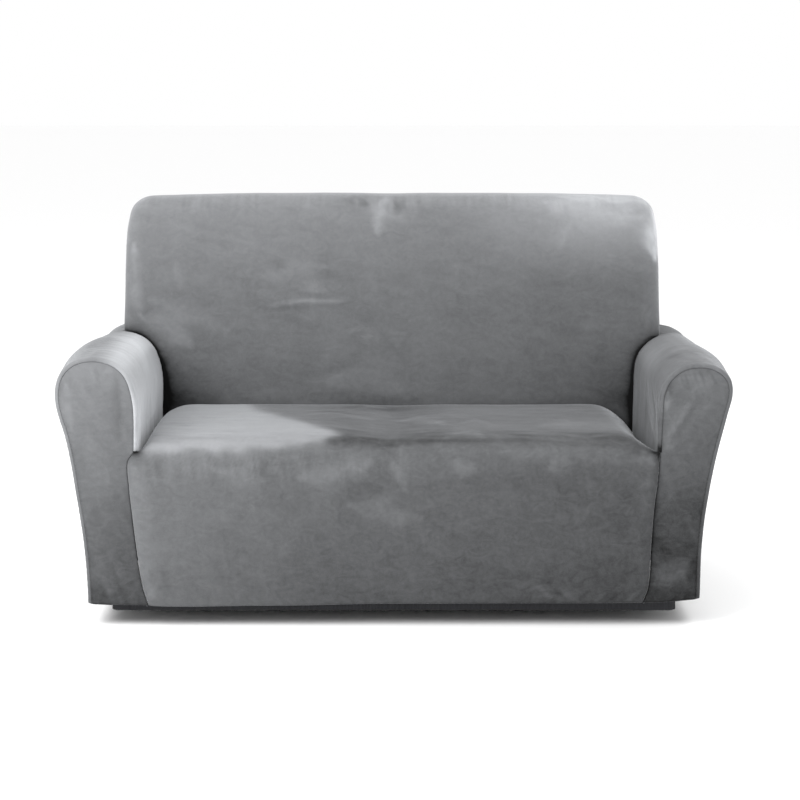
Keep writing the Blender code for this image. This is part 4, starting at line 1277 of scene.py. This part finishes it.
def ramp(value, low, high):
    """0 below low, 1 above high and a smooth rise between."""
    share = np.clip((value - low) / (high - low), 0, 1)
    return share * share * (3 - 2 * share)


def soft_step(value):
    """1 far below 0, 0 far above it and a half at 0."""
    return 1 / (1 + np.exp(np.clip(value, -30, 30)))


def streaks(across, along, width, length, seed):
    """Long narrow marks, as a brush leaves them: across and along are two coordinates."""
    return np.array([noise.noise(Vector((a / width, b / length, seed * 2.3))) for a, b in zip(across, along)])


def streak_values(points, key):
    """The brush marks of each panel, which run the way that the cloth was smoothed."""
    x, y, z = points.T
    patchy = 0.4 + 1.2 * np.clip(soft_noise(points, 0.07, 6) + 0.25, 0, 1)
    if key == "seat":
        top, left = ramp(y, 0.0, 0.05), ramp(-x, -0.10, 0.50)
        marks = top * (0.06 + 0.12 * ramp(-x, 0.38, 0.58)) * streaks(y + 0.05 * x, x, 0.014, 0.110, 1)
        gathers = 0.012 + 0.10 * left * ramp(z, 0.345, 0.405) * (1 - ramp(z, 0.42, 0.45))
        return patchy * (marks + (1 - top) * gathers * streaks(x + 0.15 * z, z, 0.0075, 0.070, 2))
    if key == "back":
        upright = 0.008 + 0.07 * ramp(z, 0.935, 0.970)
        level = 0.03 * streaks(z + 0.2 * x, x, 0.020, 0.120, 4)
        return patchy * (upright * streaks(x, z, 0.010, 0.090, 3) + level)
    if key.startswith("arm"):
        inner = ramp(-abs(x), -0.665, -0.620)
        strength = 1.0 if key == "arm_left" else 0.40
        upright = inner * (0.10 + 0.26 * ramp(-z, -0.57, -0.47))
        around = (1 - inner) * (0.03 + 0.15 * ramp(z, 0.46, 0.57))
        upright = upright * streaks(y + 0.25 * z, z, 0.015, 0.110, 5)
        around = around * streaks(y - 0.3 * x, x + 0.5 * z, 0.013, 0.080, 6)
        return strength * patchy * (upright + around)
    return patchy * 0.03 * streaks(x + 0.4 * z, z, 0.016, 0.120, 7)


HEM_LEVEL = 0.12  # the height from which a slope of grey is measured
FRONT = (-0.02, 0.0)  # the values of -y between which cloth comes to count as the front


def seat_painted_light_slope(x, y, z):
    """Painted light and shade: darker in the middle of the seat; on the apron, darker downwards and to the
    right.
    """
    top = -0.14 + 0.03 * ramp(-x, 0.2, 0.5)
    middle = 0.05 * (1 - ramp(abs(x + 0.02), 0.08, 0.22)) * ramp(y, 0.02, 0.06)
    apron = (0.15 - 0.10 * (x + 0.5) - 0.19 * (0.36 - z)) * ramp(-y, -0.05, -0.01)
    return top - middle + apron


def back_painted_light_slope(x, y, z):
    """Painted light: paler upwards, at the right edge and most at the upper right."""
    face = 0.060 - 0.04 * x + 0.06 * ramp(z, 0.70, 0.95) + 0.12 * ramp(x, 0.64, 0.70)
    return face + 0.24 * ramp(x, 0.1, 0.6) * ramp(z, 0.75, 0.95)


def left_arm_painted_light_slope(x, y, z):
    """Painted light: paler over the roll and down its inner side, with the facing's painted slope on the
    front edge.
    """
    inner = 0.34 * ramp(x, -0.66, -0.63) * ramp(-z, -0.62, -0.50)
    front = 0.10 * ramp(-y, *FRONT) * ramp(-x, 0.65, 0.70) * (2 * ramp(z, 0.1, 0.5) - 1)
    return 0.11 + 0.50 * ramp(x, -0.71, -0.64) + inner + front


def right_arm_painted_light_slope(x, y, z):
    """Painted shade over the whole arm, paler on the outer roll, with the facing's painted slope on the front
    edge.
    """
    front = (0.02 + 0.33 * (z - HEM_LEVEL)) * ramp(-y, *FRONT)
    return -0.14 + 0.05 * ramp(x, 0.72, 0.78) + front


def right_facing_painted_light_slope(x, y, z):
    """Painted light: paler upwards, with a darker band below the middle."""
    return -0.19 + 0.45 * (z - HEM_LEVEL) - 0.02 * (1 - ramp(abs(z - 0.24), 0.04, 0.14))


# Each panel's slope of grey is painted light and shade, paler where the light falls and darker away from it;
# the outside back has a plain darker tone, and the left facing is painted paler upwards.
SLOPES = {
    "seat": seat_painted_light_slope,
    "back": back_painted_light_slope,
    "rear": lambda x, y, z: -0.04,
    "arm_left": left_arm_painted_light_slope,
    "arm_right": right_arm_painted_light_slope,
    "facing_left": lambda x, y, z: -0.11 + 0.56 * (z - HEM_LEVEL),
    "facing_right": right_facing_painted_light_slope,
}


def stroke_values(points, key):
    """The pile's lean at each point, with painted light and shade: the panel's painted slope, its strokes,
    the painted shade in the back's corners and the painted pool of light on the seat.
    """
    value = SLOPES[key](*points.T) + streak_values(points, key)
    fine_marks, broad_marks = soft_noise(points, 0.014, 8), soft_noise(points, 0.045, 9)
    ragged = 0.45 * fine_marks + 0.6 * broad_marks
    for mark in STROKES.get(key, ()):
        distance, share = line_distance(points, mark.path)
        taper = np.sqrt(np.clip(4 * share * (1 - share), 0.10, 1))
        reach = distance / (mark.width * taper) + ragged
        value += mark.strength * (1 + 0.6 * fine_marks) * soft_step(4 * (reach - 0.9))
    if key == "back":
        for middle, spread, strength in CORNER_SHADES:
            away = (points - np.array(middle)) / np.array(spread)
            value -= strength * np.exp(-np.linalg.norm(away, axis=1))
    # Painted pool of light on the left part of the seat.
    if key == "seat":
        lit = outline_distance(points[:, :2], LIT_SEAT) + 0.010 * broad_marks
        edge = mix(0.006, 0.010, ramp(points[:, 1], 0.03, 0.30))
        value += LIT_STRENGTH * soft_step(lit / edge)
    return value

# %% Painting the strokes
TUCK_SHADE = 0.010  # how far the shade of a tuck reaches up the cloth
SEAM_SHADE = 0.0022  # how far the shade of a seam reaches
TUCKED_WITH = {
    "seat": ("arm_left", "arm_right", "back"),
    "back": ("arm_left", "arm_right", "seat"),
    "arm_left": ("back", "seat"),
    "arm_right": ("back", "seat"),
}


def tuck_distance(key):
    """How far each point is from the panels that are tucked in beside it."""
    points = coordinates(panels[key])
    if key not in TUCKED_WITH:
        return np.full(len(points), 1.0)
    others = [coordinates(panels[other]) for other in TUCKED_WITH[key]]
    return edge_distance(points, np.concatenate(others))[0]


def paint(panel, key):
    """Keeps three numbers a point: the pile's lean with painted light and shade, how near a seam is, and how
    near a tuck is, which the finish turns into painted shade.
    """
    points = coordinates(panel)
    nap_and_painted_light = stroke_values(points, key)
    seam = np.exp(-seam_distance[key] / SEAM_SHADE)
    # Nearness to a tucked-in panel, which the finish darkens as painted shade in the tucks.
    tuck = np.exp(-tuck_distance(key) / TUCK_SHADE)
    for name, values in (("nap_and_painted_light", nap_and_painted_light), ("seam", seam), ("tuck", tuck)):
        layer = panel.data.attributes.new(name, "FLOAT", "POINT")
        layer.data.foreach_set("value", values.astype(np.float32))
    return float(nap_and_painted_light.min()), float(nap_and_painted_light.max())


for key, panel in panels.items():
    print(key, "nap from %.2f to %.2f" % paint(panel, key))

# %% [markdown]
# ## Thickness
#
# The cloth is given its 3 mm towards the inside, so that its outer face stays where the tables put it.
# Solidify makes the inner face and the rim round the edge, and it is applied so that the piece is whole.

# %% Thicken and place
def finish_cloth(panel):
    select_only(panel)
    points = coordinates(panel) - ORIGIN
    panel.data.vertices.foreach_set("co", points.ravel())
    panel.data.update()
    thickness = panel.modifiers.new("thickness", "SOLIDIFY")
    thickness.thickness = CLOTH
    thickness.offset = -1
    bpy.ops.object.modifier_apply(modifier=thickness.name)
    bpy.ops.object.shade_smooth()


for panel in panels.values():
    finish_cloth(panel)

# %% [markdown]
# ## The elastic band
#
# Under the hem a dark strip of gathered elastic turns in below the sofa. It is made relaxed and sewn on
# stretched, so it draws itself into fine upright ribs. A ring that is swept round the hem is enough, with
# its points moved in and out in a wave for the ribs.

# %% Band
RIB_PITCH = 0.0085  # from one rib of the elastic to the next
RIB_DEPTH = 0.0011
RIB_CELLS = 5  # points along one rib
BAND_OUTER = (0.7335, 0.0012, 0.020)  # half the width, the setback at front and rear, and the corners
BAND_INNER = (0.6800, 0.0220, 0.018)
BAND_SIDE_STEPS, BAND_CORNER_STEPS = 16, 4
BAND_RINGS = (  # the band's section: how far inwards and how far down each ring is
    (0.0, 0.0), (0.45, 0.0), (0.80, 0.0), (0.93, 0.03), (1.0, 0.22), (1.0, 0.5), (1.0, 0.78), (1.0, 1.0),
)


def rounded_rectangle(half_width, front, rear, radius, side_steps, corner_steps):
    """A loop of points round a rectangle with round corners."""
    corners = (
        (half_width - radius, front + radius, -90),
        (half_width - radius, rear - radius, 0),
        (radius - half_width, rear - radius, 90),
        (radius - half_width, front + radius, 180),
    )
    points = []
    for x, y, first in corners:
        for step in range(corner_steps + 1):
            angle = math.radians(first + 90 * step / corner_steps)
            points.append(Vector((x + radius * math.cos(angle), y + radius * math.sin(angle))))
    loop = []
    for place, point in enumerate(points):
        following = points[(place + 1) % len(points)]
        steps = side_steps if (following - point).length > 3 * radius else 1
        loop += [point.lerp(following, step / steps) for step in range(steps)]
    return loop


def band_loop(half_width, setback, radius):
    """A loop of the band, set back this far from the fronts of the arms and from the rear."""
    ends = (setback, BACK_WALL - setback)
    loop = rounded_rectangle(half_width, *ends, radius, BAND_SIDE_STEPS, BAND_CORNER_STEPS)
    return np.array([tuple(point) for point in loop])


def band_points():
    """The band's rings, from the hem inwards and down, with the ribs pushed in."""
    outer, inner = band_loop(*BAND_OUTER), band_loop(*BAND_INNER)
    around = np.linalg.norm(np.diff(np.vstack([outer, outer[:1]]), axis=0), axis=1)
    counts = [max(1, round(gap / (RIB_PITCH / RIB_CELLS))) for gap in around]

    def spread(loop):
        loop = np.vstack([loop, loop[:1]])
        spans = zip(loop, loop[1:], counts)
        return np.array([a + (b - a) * t for a, b, n in spans for t in np.arange(n) / n] + [loop[0]])

    outer, inner = spread(outer), spread(inner)
    length = np.concatenate([[0], np.cumsum(np.linalg.norm(np.diff(outer, axis=0), axis=1))])
    rib = np.sin(2 * math.pi * length * round(length[-1] / RIB_PITCH) / length[-1])
    rib *= 0.75 + 0.25 * np.sin(length * 23.0)
    middle = np.array((0.0, BACK_WALL / 2))
    grid = []
    for inwards, down in BAND_RINGS:
        ring = outer + (inner - outer) * inwards
        away = ring - middle
        away /= np.linalg.norm(away, axis=1, keepdims=True)
        push = RIB_DEPTH * rib * (0.3 + 0.7 * down)
        top = np.array([hem_height(x) for x in ring[:, 0]]) - BAND_GAP
        height = top + (BAND_FOOT - top) * down - 0.4 * RIB_DEPTH * np.abs(rib) * (1 - down)
        grid.append(np.column_stack([ring + away * push[:, None], height]))
    return np.array(grid)


band = panel_from("hem_band_elastic", [band_points()], (0.0, 0.425, 0.045))
finish_cloth(band)
panels["band"] = band
print("band has", len(band.data.polygons), "faces")

# %% [markdown]
# ## Shader sums as plain Python
#
# A finish is mixed from numbers at each place. Wrapping a socket in a small class lets those sums be
# written as Python sums, and each one adds its own Math node.

# %% Socket class
class Value:
    """A socket of a material, on which sums can be written."""

    def __init__(self, maker, socket):
        self.maker, self.socket = maker, socket

    def _sum(self, operation, *inputs):
        return self.maker.node("ShaderNodeMath", {"operation": operation}, dict(enumerate(inputs)))

    def __add__(self, other):
        return self._sum("ADD", self, other)

    __radd__ = __add__

    def __mul__(self, other):
        return self._sum("MULTIPLY", self, other)

    __rmul__ = __mul__

    def __sub__(self, other):
        return self._sum("SUBTRACT", self, other)

    def __rsub__(self, other):
        return self._sum("SUBTRACT", other, self)

    def clamped(self):
        return self._sum("MINIMUM", self._sum("MAXIMUM", self, 0.0), 1.0)


class Finish:
    """A material being mixed."""

    def __init__(self, name):
        self.material = bpy.data.materials.new(name)
        self.material.use_nodes = True
        self.tree = self.material.node_tree
        self.shader = self.tree.nodes["Principled BSDF"]

    def node(self, kind, settings=None, inputs=None, output=0):
        made = self.tree.nodes.new(kind)
        for key, value in (settings or {}).items():
            setattr(made, key, value)
        for key, value in (inputs or {}).items():
            self.put(made.inputs[key], value)
        return Value(self, made.outputs[output])

    def put(self, socket, value):
        if isinstance(value, Value):
            self.tree.links.new(value.socket, socket)
        else:
            socket.default_value = value

    def place(self, scale=(1.0, 1.0, 1.0)):
        """Object coordinates, stretched."""
        where = self.node("ShaderNodeTexCoord", output="Object")
        return self.node("ShaderNodeMapping", {}, {"Vector": where, "Scale": scale})

    def noise(self, size, scale=(1.0, 1.0, 1.0), detail=2.0, roughness=0.5, distortion=0.0):
        """Noise round 0 with marks of this size in metres."""
        inputs = {"Vector": self.place(scale), "Scale": 1.0 / size, "Detail": detail}
        inputs |= {"Roughness": roughness, "Distortion": distortion}
        return self.node("ShaderNodeTexNoise", {}, inputs, "Fac") - 0.5

    def attribute(self, name):
        return self.node("ShaderNodeAttribute", {"attribute_name": name}, output="Fac")

    def mix_colour(self, share, dark, light):
        """The colour between dark and light at this share, by the Mix node's own colour sockets."""
        return self.node("ShaderNodeMix", {"data_type": "RGBA"}, {0: share, 6: dark, 7: light}, 2)


print("shader helpers ready")

# %% [markdown]
# ## Velour
#
# The grey is darkest where the pile leans towards the eye and palest where it leans away, and the
# same attribute also carries painted light, painted highlights and painted shade; the tucks get painted
# shade as well. Fine noise gives the single tufts, longer marks give the brushing, and the sheen gives the
# pale rim that a pile shows at a glancing angle.

# %% Velour finish
PILE_DARK = (0.0, 0.0, 0.0, 1.0)
PILE_LIGHT = (0.500, 0.512, 0.531, 1.0)
ELASTIC_DARK = (0.008, 0.008, 0.010, 1.0)
ELASTIC_LIGHT = (0.035, 0.036, 0.040, 1.0)


def velour_finish():
    finish = Finish("velour_grey")
    nap_and_painted_light = finish.attribute("nap_and_painted_light")
    seam = finish.attribute("seam")
    tuck = finish.attribute("tuck")
    clouds = finish.noise(0.110, detail=3.0, roughness=0.55, distortion=0.6)
    brushed = finish.noise(0.034, (0.8, 1.0, 1.25), detail=3.0, roughness=0.55, distortion=1.6)
    mottle = finish.noise(0.009, detail=3.0, roughness=0.6)
    tufts = finish.noise(0.0016, detail=2.0, roughness=0.7)
    # The attribute carries the pile's strokes together with painted light, painted highlights and painted
    # shade.
    share = 0.25 + nap_and_painted_light + 0.09 * clouds + 0.11 * brushed + 0.07 * mottle + 0.10 * tufts
    # Painted shade: the grey darkens in the tucks; the seams get a thin dark line.
    share = share - 0.07 * seam - 0.50 * tuck
    colour = finish.mix_colour((0.8 * share).clamped(), PILE_DARK, PILE_LIGHT)
    finish.put(finish.shader.inputs["Base Color"], colour)
    finish.put(finish.shader.inputs["Roughness"], (0.86 - 0.10 * brushed + 0.06 * tufts).clamped())
    height = 0.35 * mottle + 1.0 * tufts + 0.6 * brushed
    bump = finish.node("ShaderNodeBump", {}, {"Strength": 0.35, "Distance": 0.0012, "Height": height})
    finish.put(finish.shader.inputs["Normal"], bump)
    finish.shader.inputs["Specular IOR Level"].default_value = 0.25
    finish.shader.inputs["Sheen Weight"].default_value = 0.45
    finish.shader.inputs["Sheen Roughness"].default_value = 0.38
    finish.shader.inputs["Sheen Tint"].default_value = (0.85, 0.87, 0.90, 1.0)
    return finish.material


def elastic_finish():
    finish = Finish("elastic_dark")
    ribs = finish.noise(0.0030, (1.0, 1.0, 0.12), detail=2.0)
    yarn = finish.noise(0.0009, detail=2.0)
    colour = finish.mix_colour((0.4 + 0.8 * ribs + 0.4 * yarn).clamped(), ELASTIC_DARK, ELASTIC_LIGHT)
    finish.put(finish.shader.inputs["Base Color"], colour)
    finish.put(finish.shader.inputs["Roughness"], (0.75 + 0.2 * yarn).clamped())
    height = ribs + 0.5 * yarn
    bump = finish.node("ShaderNodeBump", {}, {"Strength": 0.5, "Distance": 0.001, "Height": height})
    finish.put(finish.shader.inputs["Normal"], bump)
    finish.shader.inputs["Specular IOR Level"].default_value = 0.3
    return finish.material


velour, elastic = velour_finish(), elastic_finish()
for key, panel in panels.items():
    panel.data.materials.clear()
    panel.data.materials.append(elastic if key == "band" else velour)
print("finishes:", velour.name, elastic.name)

# %% [markdown]
# ## What stands for what
#
# Each panel replaces the plain solid of its own name and rides on the cover's one body. The cover is cut
# smaller than the sofa and stretched on.

Cut = namedtuple("Cut", "key node flat area held")
CUTS = (
    Cut("seat", "seat_and_apron", (1.16, 0.98), 1.10, "stretched"),
    Cut("back", "inside_back", (1.32, 0.76), 0.96, "stretched"),
    Cut("rear", "outside_back", (1.66, 0.86), 1.28, "stretched"),
    Cut("arm_left", "arm_cover_left", (0.98, 0.78), 0.64, "stretched"),
    Cut("arm_right", "arm_cover_right", (0.98, 0.78), 0.64, "stretched"),
    Cut("facing_left", "arm_facing_left", (0.20, 0.56), 0.070, "stretched"),
    Cut("facing_right", "arm_facing_right", (0.20, 0.56), 0.065, "stretched"),
    Cut("band", "hem_band", (4.40, 0.055), 0.22, "gathered"),
)
for cut in CUTS:
    panel = panels[cut.key]
    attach(panel, "root")
    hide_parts(cut.node)
    "hem_elastic" if cut.key == "band" else "cover_velour"
    print(cut.node, "is", panel.name)

# %% [markdown]
# ## Floor, light and camera
#
# A plain pale floor and soft light from the upper left, as in a studio, with the camera low in front.

# %% Stage
FLOOR_SIZE = 60.0
CAMERA_AT = (0.015, -5.730, 0.407)
CAMERA_TILT = 80.5  # degrees up from straight down
CAMERA_LENS = 96.66  # mm

bpy.ops.mesh.primitive_plane_add(size=FLOOR_SIZE, location=(0.0, 0.0, -MOUNT_HEIGHT))
floor = bpy.context.object
floor.name = "studio_floor"
floor_finish = Finish("floor_white")
floor_finish.shader.inputs["Base Color"].default_value = (0.98, 0.98, 0.98, 1.0)
floor_finish.shader.inputs["Roughness"].default_value = 0.9
floor.data.materials.append(floor_finish.material)


def soft_light(name, place, target, size, power):
    bpy.ops.object.light_add(type="AREA", location=place)
    light = bpy.context.object
    light.name = name
    light.data.shape = "DISK"
    light.data.size = size
    light.data.energy = power
    light.rotation_euler = (Vector(target) - Vector(place)).to_track_quat("-Z", "Y").to_euler()
    return light


soft_light("key", place=(-2.8, -2.8, 2.6), target=(0.0, -0.3, -0.5), size=3.2, power=215.0)
soft_light("rim", place=(1.8, 0.9, 2.7), target=(0.0, -0.2, -0.4), size=2.4, power=65.0)
world = bpy.context.scene.world or bpy.data.worlds.new("studio")
bpy.context.scene.world = world
world.use_nodes = True
world.node_tree.nodes["Background"].inputs["Color"].default_value = (1.0, 1.0, 1.0, 1.0)
world.node_tree.nodes["Background"].inputs["Strength"].default_value = 1.0

bpy.ops.object.camera_add(location=CAMERA_AT, rotation=(math.radians(CAMERA_TILT), 0.0, 0.0))
camera = bpy.context.object
camera.data.lens = CAMERA_LENS
camera.data.sensor_width = 36.0
camera.data.clip_end = 200.0
bpy.context.scene.camera = camera
bpy.context.scene.view_settings.view_transform = "Standard"
print("camera at", tuple(round(v, 3) for v in camera.location))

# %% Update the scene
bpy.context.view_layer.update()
